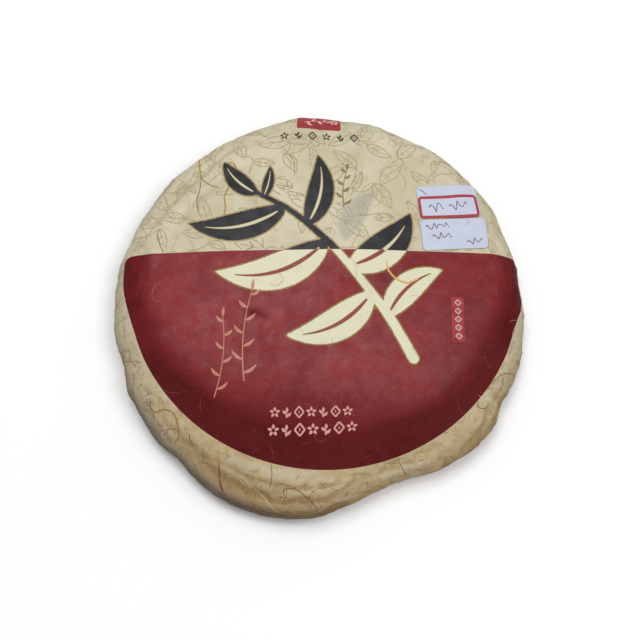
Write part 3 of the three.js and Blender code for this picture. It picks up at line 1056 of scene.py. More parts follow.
def paper_material(colours):
    """Thin fibrous paper: bare tissue, with a cream ground, a dark red field and a brushed sprig
    that is black on the cream and pale on the red. The mesh says at each point where these are."""
    material, tree, shader = new_material("wrapping_paper")
    field, above, ground, motif, wash, fold, shade, stain_and_shade, outer, low = (
        value_at(tree, name) for name in PAPER_VALUES
    )

    clouds = mottle(tree, 26, 2.0)
    patches = mottle(tree, 11, 1.8)
    flecks = mottle(tree, 1.6, 2.4)
    hair = hairs(tree, 9, 0.012)
    thin_hair = hairs(tree, 5, 0.014)
    # Painted shade in the hollows of folds and painted highlight on their crests, from how deep each point
    # lies.
    hollow = between(tree, fold, 0.0, 0.9)
    crest_highlight = between(tree, fold, 0.0, -0.9)

    streaks = mottle(tree, 4.5, 2.2, 2.6)
    # Grey tissue towards the far side, partly a painted sheen, and golden tissue towards the near side.
    tissue = mixed(tree, stain_and_shade, colours.tissue_grey, colours.tissue)
    tea = times(tree, between(tree, patches, 0.8, 0.3), 0.25)
    tea = maths(tree, "MULTIPLY_ADD", between(tree, streaks, 0.7, 0.3), 0.3, tea)
    # Painted shade: the hollows of folds take the darker tea tint.
    tea = maths(tree, "MAXIMUM", tea, times(tree, hollow, 0.45))
    tissue = mixed(tree, times(tree, tea, stain_and_shade), tissue, colours.tissue_shade)
    tissue = mixed(tree, between(tree, flecks, 0.4, 0.9, 0.0, 0.35), tissue, colours.tissue_shade)
    # Painted highlight: the crests of folds are paled towards the grey tissue.
    tissue = mixed(tree, times(tree, crest_highlight, 0.5), tissue, colours.tissue_grey)
    tissue = mixed(tree, times(tree, hair, 0.45), tissue, colours.fibre_brown)
    tissue = mixed(tree, times(tree, thin_hair, 0.25), tissue, colours.cream)
    cream = mixed(tree, between(tree, clouds, 0.25, 0.75), colours.cream_shade, colours.cream)
    cream = mixed(tree, times(tree, hair, 0.12), cream, colours.fibre_brown)
    on_ground = between(tree, ground, -0.4, 0.4)
    colour = mixed(tree, on_ground, tissue, cream)

    deep = maths(tree, "MULTIPLY_ADD", clouds, 0.5, times(tree, patches, 0.35))
    deep = maths(tree, "MULTIPLY_ADD", flecks, 0.15, deep)
    red = mixed(tree, between(tree, deep, 0.25, 0.75), colours.red_shade, colours.red)
    red = mixed(tree, times(tree, thin_hair, 0.12), red, colours.pink)
    # Painted shade: the red is mixed towards black by the shade share, at the round edge, the near side and
    # the right.
    red = mixed(tree, shade, red, (0, 0, 0))
    in_field = between(tree, field, -0.12, 0.12)
    colour = mixed(tree, in_field, colour, red)
    colour = mixed(tree, times(tree, wash, 0.55), colour, colours.wash)

    rough = maths(tree, "MULTIPLY_ADD", maths(tree, "SUBTRACT", flecks, 0.5), 0.35, motif)
    rim = between(tree, maths(tree, "ABSOLUTE", maths(tree, "SUBTRACT", rough, 0.25)), 0.25, 0.6, 1.0, 0.0)
    colour = mixed(tree, times(tree, rim, 0.75), colour, colours.gold)
    ink = mixed(tree, between(tree, above, -0.1, 0.1), colours.glyph_cream, colours.black)
    inked = between(tree, rough, -0.15, 0.15, 1.0, 0.0)
    colour = mixed(tree, inked, colour, ink)

    # Painted shade past the shoulder: a grey multiply, golden and stronger at the near side.
    outer_shade_and_gold = mixed(tree, stain_and_shade, colours.outer_shade, colours.outer_gold)
    outer = times(tree, outer, maths(tree, "MULTIPLY_ADD", stain_and_shade, 0.5, 0.28))
    colour = mixed(tree, outer, colour, outer_shade_and_gold, blend="MULTIPLY")
    # Painted shade: the foot of the wall is mixed towards a dark grey.
    colour = mixed(tree, times(tree, low, 0.7), colour, colours.low_shade)
    # Painted shade: a last darkening in the hollows of folds.
    colour = mixed(tree, times(tree, hollow, 0.22), colour, colours.tissue_shade, blend="MULTIPLY")
    tree.links.new(colour, shader.inputs["Base Color"])

    printed = between(tree, patches, 0.1, 0.9, 0.36, 0.46)
    bare = between(tree, patches, 0.1, 0.9, 0.72, 0.85)
    roughness = add_node(tree, "ShaderNodeMix", {0: in_field, 2: bare, 3: printed}).outputs[0]
    tree.links.new(roughness, shader.inputs["Roughness"])
    gloss = between(tree, mottle(tree, 6, 2.4), 0.1, 0.9, 0.6, 1.4)
    gloss = times(tree, gloss, between(tree, shade, 0.0, 0.45, 0.3, 0.0))
    tree.links.new(gloss, shader.inputs["Coat Weight"])
    shader.inputs["Coat Roughness"].default_value = 0.41
    shader.inputs["Specular IOR Level"].default_value = 0.03
    unprinted = maths(tree, "SUBTRACT", 1.0, maths(tree, "MAXIMUM", in_field, on_ground))
    wrinkles = times(tree, hairs(tree, 7, 0.07), times(tree, unprinted, 3.0))
    height = maths(tree, "MULTIPLY_ADD", hair, 0.6, grain(tree, 1.1))
    bumped(tree, shader, maths(tree, "ADD", height, wrinkles), 0.04, 0.8)
    return material


def ink_material(name, colour, ground, cover=0.85, roughness=0.6):
    """Ink or fibre on paper: its colour broken by the ground's own at the grain's scale."""
    material, tree, shader = new_material(name)
    worn = between(tree, mottle(tree, 1.2, 2.0), 0.15, 0.6, 1 - 2 * (1 - cover), 1.0)
    tree.links.new(mixed(tree, worn, ground, colour), shader.inputs["Base Color"])
    tree.links.new(
        between(tree, mottle(tree, 2.5), 0.2, 0.8, roughness - 0.06, roughness + 0.06),
        shader.inputs["Roughness"],
    )
    shader.inputs["Specular IOR Level"].default_value = 0.4
    bumped(tree, shader, grain(tree, 0.8), 0.03)
    return material


def brush_distance(places, strokes):
    """Signed distance to brushed strokes, negative inside: the least of the distances to a stroke's
    circles less their radii."""
    nearest = np.full(len(places), 1e3)
    for centres, radii in strokes:
        for centre, radius in zip(centres, radii):
            off = np.hypot(places[:, 0] - centre[0], places[:, 1] - centre[1]) - radius
            np.minimum(nearest, off, out=nearest)
    return nearest


def leaf_stroke(base, tip, bow, width, count=48):
    """A leaf's circles, strung on its midrib with the radius of its blade."""
    share = np.linspace(0, 1, count)
    return bowed(base, tip, bow, share)[0], width / 2 * blade(share)


def sprig_distance(places):
    """Signed distance to the brushed sprig's stem and leaves."""
    stem = through(SPRIG_STEM, 1)
    radii = np.linspace(*SPRIG_STEM_RADII, len(stem))
    return brush_distance(places, [(stem, radii), *(leaf_stroke(*leaf) for leaf in SPRIG_LEAVES)])


def round_depth(places, sizes):
    """How far inside the red field's round edge a place is. It opens out a little beside the top."""
    right, away = places.T
    from_middle = np.hypot(right - sizes.field_right / MM, away - sizes.field_away / MM)
    flare = np.where(right > 0, 6.0, 3.4) * smooth(away, -16, 14)
    return sizes.field_radius / MM + flare - from_middle


def field_inside(places, sizes):
    """How far inside the red field a place is: the lesser of the depths inside its round edge and
    below its straight top edge, with a round corner."""
    round_edge = round_depth(places, sizes)
    top_edge = sizes.chord_away / MM - places[:, 1]
    corner = 3.0
    depth = np.maximum(corner - round_edge, 0) ** 2 + np.maximum(corner - top_edge, 0) ** 2
    return np.minimum(np.minimum(round_edge, top_edge), corner - np.sqrt(depth))


def paper_faces(sheet):
    """Faces of the wrapped sheet: quads between the rings, and a fan of triangles at each end."""
    columns = sheet.columns
    rings = len(sheet.rings)
    j, i = np.meshgrid(np.arange(1, rings - 2), np.arange(columns), indexing="ij")
    here = 1 + (j - 1) * columns
    after = (i + 1) % columns
    quads = np.stack([here + i, here + columns + i, here + columns + after, here + after], -1)
    i = np.arange(columns)
    after = (i + 1) % columns
    first = np.stack([np.zeros(columns, int), 1 + i, 1 + after], 1)
    last_ring = 1 + (rings - 3) * columns
    last = np.full(columns, 1 + (rings - 2) * columns)
    end = np.stack([last_ring + i, last, last_ring + after], 1)
    return [quads.reshape(-1, 4), first, end]


def on_points(values):
    """A value of each ring and column as one for each point of the mesh, where each end is one."""
    return np.concatenate([values[0, :1], values[1:-1].reshape(-1), values[-1, :1]])


def lay_bake_map(sheet, mesh):
    """A map of two round islands: the face down to the wall, and what is underneath."""
    split = sheet.ends["shoulder"] + 8
    face_size = 0.4
    under_size = 0.18
    margin = 0.006
    distance = on_points(sheet.distance)
    angle = on_points(sheet.angle)
    corners = np.empty(len(mesh.loops), np.int32)
    mesh.loops.foreach_get("vertex_index", corners)
    starts = np.empty(len(mesh.polygons), np.int32)
    mesh.polygons.foreach_get("loop_start", starts)
    face = np.searchsorted(starts, np.arange(len(corners)), side="right") - 1
    farthest = np.maximum.reduceat(distance[corners], starts)
    below = (farthest > split)[face]
    out = distance[corners] / split * (face_size - margin)
    inward = (sheet.along[-1] - distance[corners]) / (sheet.along[-1] - split) * (under_size - margin)
    turned = angle[corners]
    top = np.stack([face_size + out * np.cos(turned), face_size + out * np.sin(turned)], 1)
    under = np.stack(
        [1 - under_size + inward * np.cos(turned), 1 - under_size - inward * np.sin(turned)], 1
    )
    layer = mesh.uv_layers.new(name="OFBake")
    layer.data.foreach_set("uv", np.where(below[:, None], under, top).astype(np.float32).ravel())


def hollows(sheet):
    """How far each point lies below the mean of four points some millimetres round it, as a share
    of the deepest."""
    height = sheet.fine_relief(sheet.angle, sheet.distance) + sheet.relief(sheet.angle, sheet.distance)
    near = np.zeros_like(height)
    for rings, columns in ((1, 0), (-1, 0), (0, 1), (0, -1)):
        rolled = np.roll(height, HOLLOW_REACH * columns, 1)
        row = np.clip(np.arange(len(height)) + HOLLOW_REACH * rings, 0, len(height) - 1)
        near += np.take(rolled, row, 0)
    return np.clip((near / 4 - height) / HOLLOW_DEPTH, -1, 1)


def painted_shade_on_print(printed, sizes):
    """Painted shade on the print: shares that grow smoothly towards the field's round edge, the
    near side and the right, no more than the most shade in all, and bells for the dark patches."""
    round_edge = 1 - smooth(round_depth(printed, sizes), *ROUND_SHADE_DEPTHS)
    near_edge = smooth(printed @ NEAR_SHADE_WAY, *NEAR_SHADE_REACH)
    shade = PAINTED_SHADE * (round_edge + near_edge)
    shade += RIGHT_SHADE * smooth(printed[:, 0], *RIGHT_SHADE_REACH)
    shade = np.minimum(shade, MOST_SHADE)
    for right, away, breadth, height, share in DARK_PATCHES:
        off = (printed - (right, away)) / (breadth, height)
        shade += share * bell(np.hypot(*off.T))
    return shade


def wall_stain_and_shade(sheet, printed, angle, distance):
    """Shares of the wall's golden stain with painted shade, its painted outer shade and the painted
    shade of its grey foot. Each grows smoothly along the sheet, bells of the bearing strengthen or weaken
    it, and it fades out underneath."""
    bearing = np.degrees(angle)
    bulge, shaded_side, dent = (
        bell(degrees_apart(bearing, at) / width) for at, width in (BULGE, SHADED_SIDE, DENT)
    )
    under = smooth(distance, sheet.ends["wall"] - 4, sheet.ends["wall"] + 14)
    # Stain and painted shade: the golden share grows towards the near side and is cut back on the shaded
    # grey side.
    stain_and_shade = smooth(-printed[:, 1], *STAIN_AND_SHADE_REACH) * (1 - 0.6 * shaded_side * smooth(distance, *SHADED_SIDE_REACH))
    # Painted shade past the shoulder, coming in sooner at the bulge.
    outer = smooth(distance, OUTER_SHADE_REACH[0] - 9 * bulge, OUTER_SHADE_REACH[1] - 8 * bulge)
    # Painted shade at the foot of the wall, coming in sooner at the bulge and on the shaded side.
    sooner = SOONER * np.maximum(bulge, shaded_side)
    foot = smooth(distance, FOOT_REACH[0] - sooner, FOOT_REACH[1] - sooner)
    foot *= 1 - smooth(distance, FOOT_FADE_START, sheet.ends["wall"])
    # Less painted shade in the lit dent.
    less_shade_in_dent = 1 - 0.8 * dent
    return {
        "stain_and_shade": stain_and_shade * (1 - under) + 0.35 * under,
        "outer": outer * (1 - 0.5 * under) * less_shade_in_dent,
        "low": foot * less_shade_in_dent,
    }


class TEACAKE_OT_paper(bpy.types.Operator):
    """Lays the printed paper over the cake, down the wall and into the knot underneath"""

    bl_idname = "tea_cake.paper"
    bl_label = "Wrapping paper"

    def execute(self, context):
        sheet = sheet_of(context)
        sizes = context.scene.tea_cake_print
        colours = context.scene.tea_cake_colours
        grid = sheet.grid
        points = np.vstack([grid[0, :1], grid[1:-1].reshape(-1, 3), grid[-1, :1]])
        piece = mesh_piece(
            "paper_wrap", points, paper_faces(sheet), paper_material(colours), "wrapping_paper"
        )
        distance, angle = on_points(sheet.distance), on_points(sheet.angle)
        places = np.stack([distance * np.cos(angle), distance * np.sin(angle)], 1)
        printed = sheet.printed(places)
        above = printed[:, 1] - sizes.chord_away / MM
        face = distance < sheet.ends["shoulder"]
        motif = np.full(len(places), FAR)
        motif[face] = sprig_distance(places[face])
        wash = np.full(len(places), FAR)
        wash[face] = brush_distance(places[face], [leaf_stroke(*WASH_LEAF)])
        values = {
            "field": field_inside(printed, sizes),
            "above": above,
            "ground": np.minimum(above, GROUND_EDGE - distance),
            "motif": np.minimum(motif, FAR),
            "wash": 1 - smooth(wash, -2.5, 0.5),
            "fold": on_points(hollows(sheet)),
            "shade": painted_shade_on_print(printed, sizes),
            **wall_stain_and_shade(sheet, printed, angle, distance),
        }
        for name in PAPER_VALUES:
            point_values(piece.data, name, values[name])
        lay_bake_map(sheet, piece.data)
        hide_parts("wrapped_cake")
        return {"FINISHED"}


def covered(places, margin=0):
    """Whether a label or a red tab lies over each place, or within a margin of it."""
    over = np.zeros(len(places), bool)
    for left, low, right, high in COVERED:
        inside = (places > (left - margin, low - margin)) & (places < (right + margin, high + margin))
        over |= np.all(inside, 1)
    return over


def scattered_leaves(sizes, rng):
    """Places and directions of the pattern's leaves: random ones that keep their distance."""
    spacing = sizes.leaf_spacing / MM
    chord = sizes.chord_away / MM
    places = np.empty((0, 2))
    directions = []
    for _ in range(PATTERN_TRIES):
        place = np.array([rng.uniform(-106, 106), rng.uniform(chord - 4, 106)])
        if np.hypot(*place) > PATTERN_EDGE:
            continue
        if len(places) and np.hypot(*(places - place).T).min() < spacing:
            continue
        places = np.vstack([places, place])
        directions.append(rng.uniform(0, TURN))
    return places, np.array(directions)


def leaf_lines(base, tip, bow, width, line, veins):
    """A drawn leaf: its two edges, its midrib and a few side veins, as strokes."""
    share = np.linspace(0, 1, 15)
    middle, left = bowed(base, tip, bow, share)
    half = (width / 2 * blade(share))[:, None]
    strokes = [(middle + left * half, line / 2), (middle - left * half, line / 2)]
    rib, _ = bowed(base, tip, bow, np.linspace(0, 0.86, 10))
    strokes.append((rib, line / 2 * np.linspace(1, 0.6, 10)))
    for at in veins:
        start, side = bowed(base, tip, bow, [at])
        reach, _ = bowed(base, tip, bow, [at + 0.2])
        for sign in (-1, 1):
            end = reach + sign * side * width / 2 * blade(at + 0.2) * 0.75
            strokes.append((np.linspace(start[0], end[0], 4), line / 3))
    return strokes


class TEACAKE_OT_leaf_pattern(bpy.types.Operator):
    """Prints the fine leaf pattern on the cream ground"""

    bl_idname = "tea_cake.leaf_pattern"
    bl_label = "Leaf pattern"

    def execute(self, context):
        sheet = sheet_of(context)
        sizes = context.scene.tea_cake_print
        colours = context.scene.tea_cake_colours
        rng = np.random.default_rng(23)
        line = sizes.line_width / MM
        places, directions = scattered_leaves(sizes, rng)
        strokes = []
        bases = []
        for place, direction in zip(places, directions):
            length = sizes.leaf_length / MM * rng.uniform(0.62, 1.12)
            heading = unit(direction)
            base, tip = place - heading * length / 2, place + heading * length / 2
            bow = rng.uniform(-1.1, 1.1)
            width = length * rng.uniform(0.36, 0.48)
            veins = rng.choice([0.2, 0.35, 0.5], rng.integers(1, 3))
            strokes += leaf_lines(base, tip, bow, width, line, veins)
            start = base
            if bases:
                away = np.hypot(*(np.array(bases) - base).T)
                near = int(away.argmin())
                if 3 < away[near] < 15:
                    start = bases[near]
            stem = start if start is not base else base - heading * 4
            path, _ = bowed(stem, base, rng.uniform(-2.5, 2.5), np.linspace(0, 1, 12))
            strokes.append((path, line / 2))
            bases.append(base)

        def allowed(path):
            chord = sizes.chord_away / MM
            clear = (sprig_distance(path) > 0.8) & ~covered(path)
            return clear & (path[:, 1] > chord + 0.3) & (np.hypot(*path.T) < PATTERN_EDGE)

        material = ink_material("pattern_ink", colours.line, colours.cream, cover=0.7, roughness=0.72)
        ribbon_piece(sheet.on_paper, "leaf_pattern", strokes, material, lift=0.035, allowed=allowed)
        return {"FINISHED"}


def small_sprig(base, tip, bow, leaves, length, width, stem=0.22):
    """A small brushed sprig: a bowed stem, with leaves to its left and right in turn and one at its
    tip, each a short stroke that swells and tapers."""
    share = np.linspace(0, 1, 16)
    path, _ = bowed(base, tip, bow, share)
    strokes = [(path, stem * np.linspace(1, 0.6, 16))]
    along = np.array(tip, float) - np.array(base, float)
    heading = math.atan2(along[1], along[0])
    for number in range(leaves):
        at = (number + 0.6) / leaves
        start, _ = bowed(base, tip, bow, [min(at, 1)])
        side = 1 if number % 2 else -1
        turned = heading + 0.9 * side
        reach = length * (1.1 - 0.35 * at)
        end = start[0] + reach * unit(turned)
        leaf, _ = bowed(start[0], end, 0.12 * reach * side, share)
        strokes.append((leaf, np.maximum(width / 2 * blade(share), 0.04)))
    end = np.array(tip) + length * 0.8 * unit(heading)
    leaf, _ = bowed(tip, end, 0, share)
    strokes.append((leaf, np.maximum(width / 2 * blade(share), 0.04)))
    return strokes


def lozenge(middle, width, height, line):
    """A closed four-cornered ring with a dot in it."""
    corners = np.array([(width, 0), (0, height), (-width, 0), (0, -height), (width, 0)]) / 2
    sides = [np.linspace(a, b, 4) for a, b in zip(corners, corners[1:])]
    ring = [(np.array(middle) + side, line / 2) for side in sides]
    dot = np.linspace((-0.3 * line, 0), (0.3 * line, 0), 3) + np.array(middle)
    return [*ring, (dot, line * 0.8)]


def blossom(middle, size, petals=5):
    """A ring of short petals, each a stroke that swells and tapers."""
    middle = np.array(middle, float)
    share = np.linspace(0, 1, 9)
    strokes = []
    for number in range(petals):
        heading = TURN / 4 + number / petals * TURN
        ahead = size * unit(heading)
        petal, _ = bowed(middle + 0.12 * ahead, middle + 0.5 * ahead, 0, share)
        strokes.append((petal, np.maximum(0.13 * size * blade(share), 0.05)))
    return strokes


def ornament_row(first, last, count, away, size):
    """A row of small marks: a blossom, a sprig and a lozenge in turn."""
    strokes = []
    for number, right in enumerate(np.linspace(first, last, count)):
        middle = np.array([right, away])
        if number % 3 == 0:
            strokes += blossom(middle, size)
        elif number % 3 == 1:
            foot = middle - [0, size / 2]
            strokes += small_sprig(foot, middle, 0.06 * size, 2, 0.55 * size, 0.26 * size, 0.07 * size)
        else:
            strokes += lozenge(middle, 0.85 * size, size, 0.15 * size)
    return strokes


def joined(draw, motifs):
    """The strokes of several motifs, each drawn with its own values."""
    return [stroke for values in motifs for stroke in draw(*values)]


class TEACAKE_OT_leaf_ribs(bpy.types.Operator):
    """Leaves the midribs of the big brushed leaves open, with a thin gold edge"""

    bl_idname = "tea_cake.leaf_ribs"
    bl_label = "Leaf ribs"

    def execute(self, context):
        sheet = sheet_of(context)
        colours = context.scene.tea_cake_colours
        chord = context.scene.tea_cake_print.chord_away / MM
        share = np.linspace(0.08, 0.84, 60)
        taper = blade(np.linspace(0.02, 0.98, 60) ** 0.8)
        edges, ribs = [], []
        for base, tip, bow, width in SPRIG_LEAVES:
            rib, _ = bowed(base, tip, bow, share)
            edges.append((rib, 0.05 * width * taper + 0.22))
            ribs.append((rib, 0.05 * width * taper))
        gold = ink_material("rib_gold", colours.gold, colours.black, cover=0.9)
        cream = ink_material("rib_cream", colours.cream, colours.cream_shade)
        red = ink_material("rib_red", colours.red, colours.red_shade, roughness=0.5)
        ribbon_piece(sheet.on_paper, "rib_edges", edges, gold, lift=0.02)

        def on_cream(path):
            return path[:, 1] > chord

        def on_red(path):
            return path[:, 1] < chord

        ribbon_piece(sheet.on_paper, "ribs_over_black", ribs, cream, lift=0.035, allowed=on_cream)
        ribbon_piece(sheet.on_paper, "ribs_over_pale", ribs, red, lift=0.035, allowed=on_red)
        return {"FINISHED"}


class TEACAKE_OT_ornaments(bpy.types.Operator):
    """Prints the small sprigs, tabs and rows of ornaments"""

    bl_idname = "tea_cake.ornaments"
    bl_label = "Small ornaments"

    def execute(self, context):
        sheet = sheet_of(context)
        colours = context.scene.tea_cake_colours
        copper = ink_material("copper_ink", colours.copper, colours.red, cover=0.88, roughness=0.45)
        olive = ink_material("olive_ink", colours.olive, colours.cream, cover=0.9, roughness=0.5)
        black = ink_material("black_ink", colours.black, colours.cream, cover=0.95)
        pink = ink_material("pink_ink", colours.pink, colours.red, cover=0.9)
        pale = ink_material("pale_ink", colours.seal_mark, colours.seal, cover=0.9)

        seal = ink_material("seal_ink", colours.seal, colours.red_shade, cover=0.95)

        columns = joined(small_sprig, COPPER_SPRIGS)
        ribbon_piece(sheet.on_paper, "copper_sprigs", columns, copper, lift=0.03, crown=0.02)
        upper = small_sprig(*OLIVE_SPRIG)
        ribbon_piece(sheet.on_paper, "olive_sprig", upper, olive, lift=0.06, crown=0.02)
        row = ornament_row(*BLACK_ROW)
        ribbon_piece(sheet.on_paper, "black_row", row, black, lift=0.06)
        rows = joined(ornament_row, PINK_ROWS)
        ribbon_piece(sheet.on_paper, "pink_rows", rows, pink, lift=0.03)
        for name, (middle, size) in TABS.items():

            def lay(places, lifts, middle=middle):
                return sheet.on_paper(places + middle, lifts + TAB_LIFT)

            mesh_piece(name, *slab(lay, *size, TAB_CORNER, TAB_THICKNESS), seal, "wrapping_paper")
        marks = small_sprig(*TAB_SPRIG) + blossom(*TAB_BLOSSOM)
        for away in np.linspace(*TAB_LOZENGES):
            marks += lozenge((61.3, away), 2.9, 2.7, 0.4)
        ribbon_piece(sheet.on_paper, "pale_marks", marks, pale, lift=0.2)
        return {"FINISHED"}


def scattered_fibres(rng):
    """Winding fibres, each as its tint, path and half width. Round the rim they start at a random
    bearing and distance, and on the face at a random place."""
    for on_rim, groups in ((True, RIM_FIBRES), (False, FACE_FIBRES)):
        for count, firsts, seconds, lengths, curl, tints, halves in groups:
            for number in range(count):
                first, second = rng.uniform(*firsts), rng.uniform(*seconds)
                start = second * unit(math.radians(first)) if on_rim else np.array([first, second])
                heading = rng.uniform(0, TURN)
                length = rng.uniform(*lengths)
                turn = rng.normal(0, curl) if curl else 0
                path = wandering(start, heading, length, turn, rng)
                yield tints[number % len(tints)], path, rng.uniform(*halves)


class TEACAKE_OT_fibres(bpy.types.Operator):
    """Lays the bast fibres and hairs that show in the paper"""

    bl_idname = "tea_cake.fibres"
    bl_label = "Fibres"

    def execute(self, context):
        sheet = sheet_of(context)
        colours = context.scene.tea_cake_colours
        strokes = {tint: [] for tint in FIBRES}
        for tint, fibres in FIBRES.items():
            for half, places in fibres:
                path = through(places, 0.6)
                taper = np.minimum(1, 0.35 + 4 * np.minimum(np.linspace(0, 1, len(path)), 0.25))
                strokes[tint].append((path, FIBRE_SWELL * half * taper))
        for tint, path, half in scattered_fibres(np.random.default_rng(41)):
            strokes[tint].append((path, half))

        sizes = context.scene.tea_cake_print
        chord = sizes.chord_away / MM

        def in_field(path):
            inside = field_inside(sheet.printed(path), sizes) > 0.5
            return inside & ~covered(path, FIBRE_MARGIN)

        def off_field(path):
            return (field_inside(sheet.printed(path), sizes) < 0) & not_inked(path)

        def not_inked(path):
            clear = (sprig_distance(path) > 0.3) | (path[:, 1] < chord)
            return clear & ~covered(path, FIBRE_MARGIN)

        kept_to = {"pale": in_field, "brown": off_field, "olive": off_field}
        for tint in FIBRES:
            colour = getattr(colours, f"fibre_{tint}")
            ground = colours.red if tint == "pale" else colours.tissue
            material = ink_material(f"fibre_{tint}", colour, ground, cover=0.9, roughness=0.5)
            allowed = kept_to.get(tint, not_inked)
            name = f"fibres_{tint}"
            ribbon_piece(sheet.on_paper, name, strokes[tint], material, 0.03, 0.07, allowed=allowed)
        return {"FINISHED"}


def rounded_outline(width, height, corner, side_steps=20, corner_steps=6):
    """A rectangle's outline with round corners, counter-clockwise, evenly stepped on its sides."""
    x, y = width / 2 - corner, height / 2 - corner
    quarter = np.linspace(0, math.pi / 2, corner_steps)
    centres = [(x, y), (-x, y), (-x, -y), (x, -y)]
    outline = []
    for number, (cx, cy) in enumerate(centres):
        turned = quarter + number * math.pi / 2
        arc = np.stack([cx + corner * np.cos(turned), cy + corner * np.sin(turned)], 1)
        nx, ny = centres[(number + 1) % 4]
        turned_next = (number + 1) * math.pi / 2
        goal = np.array([nx + corner * math.cos(turned_next), ny + corner * math.sin(turned_next)])
        side = np.linspace(arc[-1], goal, side_steps + 1)[1:-1]
        outline += [arc, side]
    return np.vstack(outline)


def slab(lay, width, height, corner, thickness):
    """A thin sheet laid by lay(places, lifts): rings of a rounded rectangle from its middle out over
    the top, round its soft edge, and one fan closing it underneath."""
    outline = rounded_outline(width, height, corner)
    around = len(outline)
    shares = np.r_[np.linspace(0.1, 0.9, 9), 0.97, 1, 1]
    heights = np.r_[np.ones(10), 0.75, 0] * thickness
    places = np.vstack([[[0, 0]], *(outline * share for share in shares), [[0, 0]]])
    points = lay(places, np.concatenate([[thickness], np.repeat(heights, around), [0]]))
    i = np.arange(around)
    after = (i + 1) % around
    fan = np.stack([np.zeros(around, int), 1 + i, 1 + after], 1)
    quads = []
    for ring in range(len(shares) - 1):
        here = 1 + ring * around
        quads.append(np.stack([here + i, here + around + i, here + around + after, here + after], 1))
    last = 1 + (len(shares) - 1) * around
    end = np.full(around, len(places) - 1)
    return points, [np.vstack(quads), fan, np.stack([last + i, end, last + after], 1)]


def on_label(sheet, label, gap):
    """A function that lays points on a label: places from its middle are blended between its four
    corners. Past the shoulder the stiff label stands off the paper, by the square of the reach."""
    corners = np.array(label.corners, float)

    def lay(places, lifts):
        x, y = (places / label.size + 0.5).T[:, :, None]
        lower = corners[0] * (1 - x) + corners[1] * x
        upper = corners[2] * (1 - x) + corners[3] * x
        on_map = lower * (1 - y) + upper * y
        reach = np.maximum(0, np.hypot(*on_map.T) - STAND_OFF_START)
        return sheet.on_paper(on_map, gap + lifts + STAND_OFF * reach**2, plain=True)

    return lay


def pen_line(start, end, waves, height, count=70):
    """A wavy line: a sine along a straight line, whose height and pace change along it."""
    share = np.linspace(0, 1, count)
    path = np.linspace(start, end, count)
    pace = share + 0.04 * np.sin(2.3 * TURN * share)
    swing = 0.7 + 0.3 * np.cos(1.4 * TURN * share + waves)
    path[:, 1] += height * swing * np.sin(TURN * waves * pace)
    return path, 0.2 * np.linspace(1, 0.7, count)


class TEACAKE_OT_labels(bpy.types.Operator):
    """Sticks the two labels on, with a printed frame and pen strokes that say nothing"""

    bl_idname = "tea_cake.labels"
    bl_label = "Labels"

    def execute(self, context):
        sheet = sheet_of(context)
        colours = context.scene.tea_cake_colours
        sizes = context.scene.tea_cake_labels
        corner, thickness, gap = sizes.corner / MM, sizes.thickness / MM, sizes.gap / MM
        white = label_material(colours)
        frame_ink = ink_material("frame_ink", colours.frame, colours.label, cover=0.95)
        pen_ink = ink_material("pen_ink", colours.pen, colours.label, cover=0.95)
        above = thickness + 0.03
        for name, label in LABELS.items():
            lay = on_label(sheet, label, gap)
            shape = slab(lay, *label.size, corner, thickness)
            piece = mesh_piece(f"{name}_paper", *shape, white, "label_paper")
            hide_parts(name)
            strokes = [pen_line(*line) for line in label.pen_lines]
            ribbon_piece(lay, f"{name}_pen", strokes, pen_ink, above, slot="label_paper")
        outline = rounded_outline(*FRAME_SIZE, FRAME_CORNER)
        ring = np.vstack([outline, outline[:2]]) + FRAME_MIDDLE
        lay = on_label(sheet, LABELS["upper_label"], gap)
        strokes = [(ring, FRAME_HALF_WIDTH)]
        ribbon_piece(lay, "label_frame", strokes, frame_ink, above, crown=0.0, slot="label_paper")
        return {"FINISHED"}


def label_material(colours):
    """Smooth white label paper, slightly uneven."""
    material, tree, shader = new_material("label_paper")
    shade = tuple(0.93 * part for part in colours.label)
    tint = mixed(tree, between(tree, mottle(tree, 9, 1.6), 0.2, 0.8), shade, colours.label)
    tree.links.new(tint, shader.inputs["Base Color"])
    roughness = between(tree, mottle(tree, 4), 0.2, 0.8, 0.5, 0.62)
    tree.links.new(roughness, shader.inputs["Roughness"])
    bumped(tree, shader, grain(tree, 0.7), 0.015)
    return material


def aimed(name, data, place, goal):
    """A lamp or camera at a place, looking at a goal, both in metres."""
    made = bpy.data.objects.new(name, data)
    bpy.context.scene.collection.objects.link(made)
    made.location = place
    made.rotation_euler = (Vector(goal) - Vector(place)).to_track_quat("-Z", "Y").to_euler()
    return made


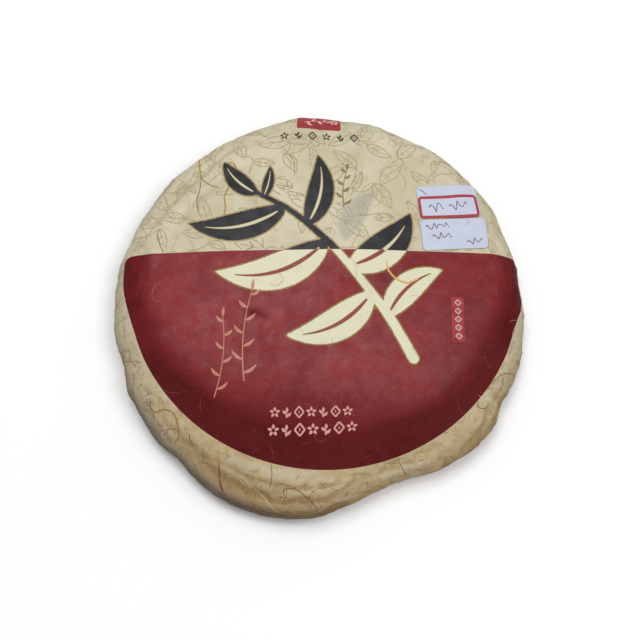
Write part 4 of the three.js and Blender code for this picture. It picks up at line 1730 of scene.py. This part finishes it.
class TEACAKE_OT_stage(bpy.types.Operator):
    """Sets up the floor, the lights and the camera"""

    bl_idname = "tea_cake.stage"
    bl_label = "Stage"

    def execute(self, context):
        scene = context.scene
        stage = scene.tea_cake_stage
        colours = scene.tea_cake_colours
        shift = sheet_of(context).shift * MM
        middle = Vector((shift[0], shift[1], 0.012))

        half = 3.0
        corners = np.array([(-half, -half, 0), (half, -half, 0), (half, half, 0), (-half, half, 0)])
        mesh = bpy.data.meshes.new("floor")
        mesh.from_pydata((corners - [0, 0, 0.1 * MM]).tolist(), [], [(0, 1, 2, 3)])
        material, tree, shader = new_material("floor")
        shade = tuple(0.97 * part for part in colours.floor)
        tint = mixed(tree, mottle(tree, 300), shade, colours.floor)
        tree.links.new(tint, shader.inputs["Base Color"])
        shader.inputs["Roughness"].default_value = 0.9
        mesh.materials.append(material)
        floor = bpy.data.objects.new("floor", mesh)
        scene.collection.objects.link(floor)
        floor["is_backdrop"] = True

        for name, place, size, power in (
            ("softbox", (1.05, -0.05, 1.95), 1.0, stage.softbox_power),
            ("window", (-0.3, 0.68, 2.2), 1.1, stage.window_power),
        ):
            light = bpy.data.lights.new(name, "AREA")
            light.size = size
            light.energy = power
            aimed(name, light, place, middle)
        world = bpy.data.worlds.new("studio")
        scene.world = world
        world.use_nodes = True
        world.node_tree.nodes["Background"].inputs["Color"].default_value = (1, 1, 1, 1)
        world.node_tree.nodes["Background"].inputs["Strength"].default_value = stage.sky

        lens = bpy.data.cameras.new("camera")
        lens.sensor_width = 36
        lens.lens = stage.lens
        rise, reach = math.sin(stage.elevation), math.cos(stage.elevation)
        place = middle + stage.distance * Vector((0, -reach, rise))
        up = Vector((0, rise, reach))
        scene.camera = aimed("camera", lens, place, middle - up * stage.drop)
        scene.view_settings.view_transform = "Standard"
        return {"FINISHED"}


class TEACAKE_PT_panel(bpy.types.Panel):
    """Lists the cake's pieces and their sizes in the sidebar."""

    bl_idname = "TEACAKE_PT_panel"
    bl_label = "Tea Cake"
    bl_space_type = "VIEW_3D"
    bl_region_type = "UI"
    bl_category = "Tea Cake"

    def draw(self, context):
        for operator in OPERATORS:
            self.layout.operator(operator.bl_idname)
        for name in GROUPS:
            box = self.layout.box()
            group = getattr(context.scene, name)
            box.label(text=group.bl_rna.name)
            for prop in group.bl_rna.properties:
                if not prop.is_readonly and prop.identifier != "name":
                    box.prop(group, prop.identifier)


OPERATORS = [
    TEACAKE_OT_paper,
    TEACAKE_OT_leaf_pattern,
    TEACAKE_OT_leaf_ribs,
    TEACAKE_OT_ornaments,
    TEACAKE_OT_fibres,
    TEACAKE_OT_labels,
    TEACAKE_OT_stage,
]
GROUPS = {
    "tea_cake_sizes": CakeSizes,
    "tea_cake_print": PrintSizes,
    "tea_cake_colours": PaperColours,
    "tea_cake_labels": LabelSizes,
    "tea_cake_stage": StageSettings,
}


def register():
    for cls in (*GROUPS.values(), *OPERATORS, TEACAKE_PT_panel):
        bpy.utils.register_class(cls)
    for name, group in GROUPS.items():
        setattr(bpy.types.Scene, name, PointerProperty(type=group))


def unregister():
    for name in GROUPS:
        delattr(bpy.types.Scene, name)
    for cls in (TEACAKE_PT_panel, *reversed(OPERATORS), *reversed(GROUPS.values())):
        bpy.utils.unregister_class(cls)


def main():
    """Registers the add-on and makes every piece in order."""
    register()
    for operator in OPERATORS:
        category, name = operator.bl_idname.split(".")
        getattr(getattr(bpy.ops, category), name)()
    boxes = {"cad": cad_bounds, "visual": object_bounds()}
    {name: [list(corner) for corner in box] for name, box in boxes.items()}


if __name__ == "__main__":
    main()
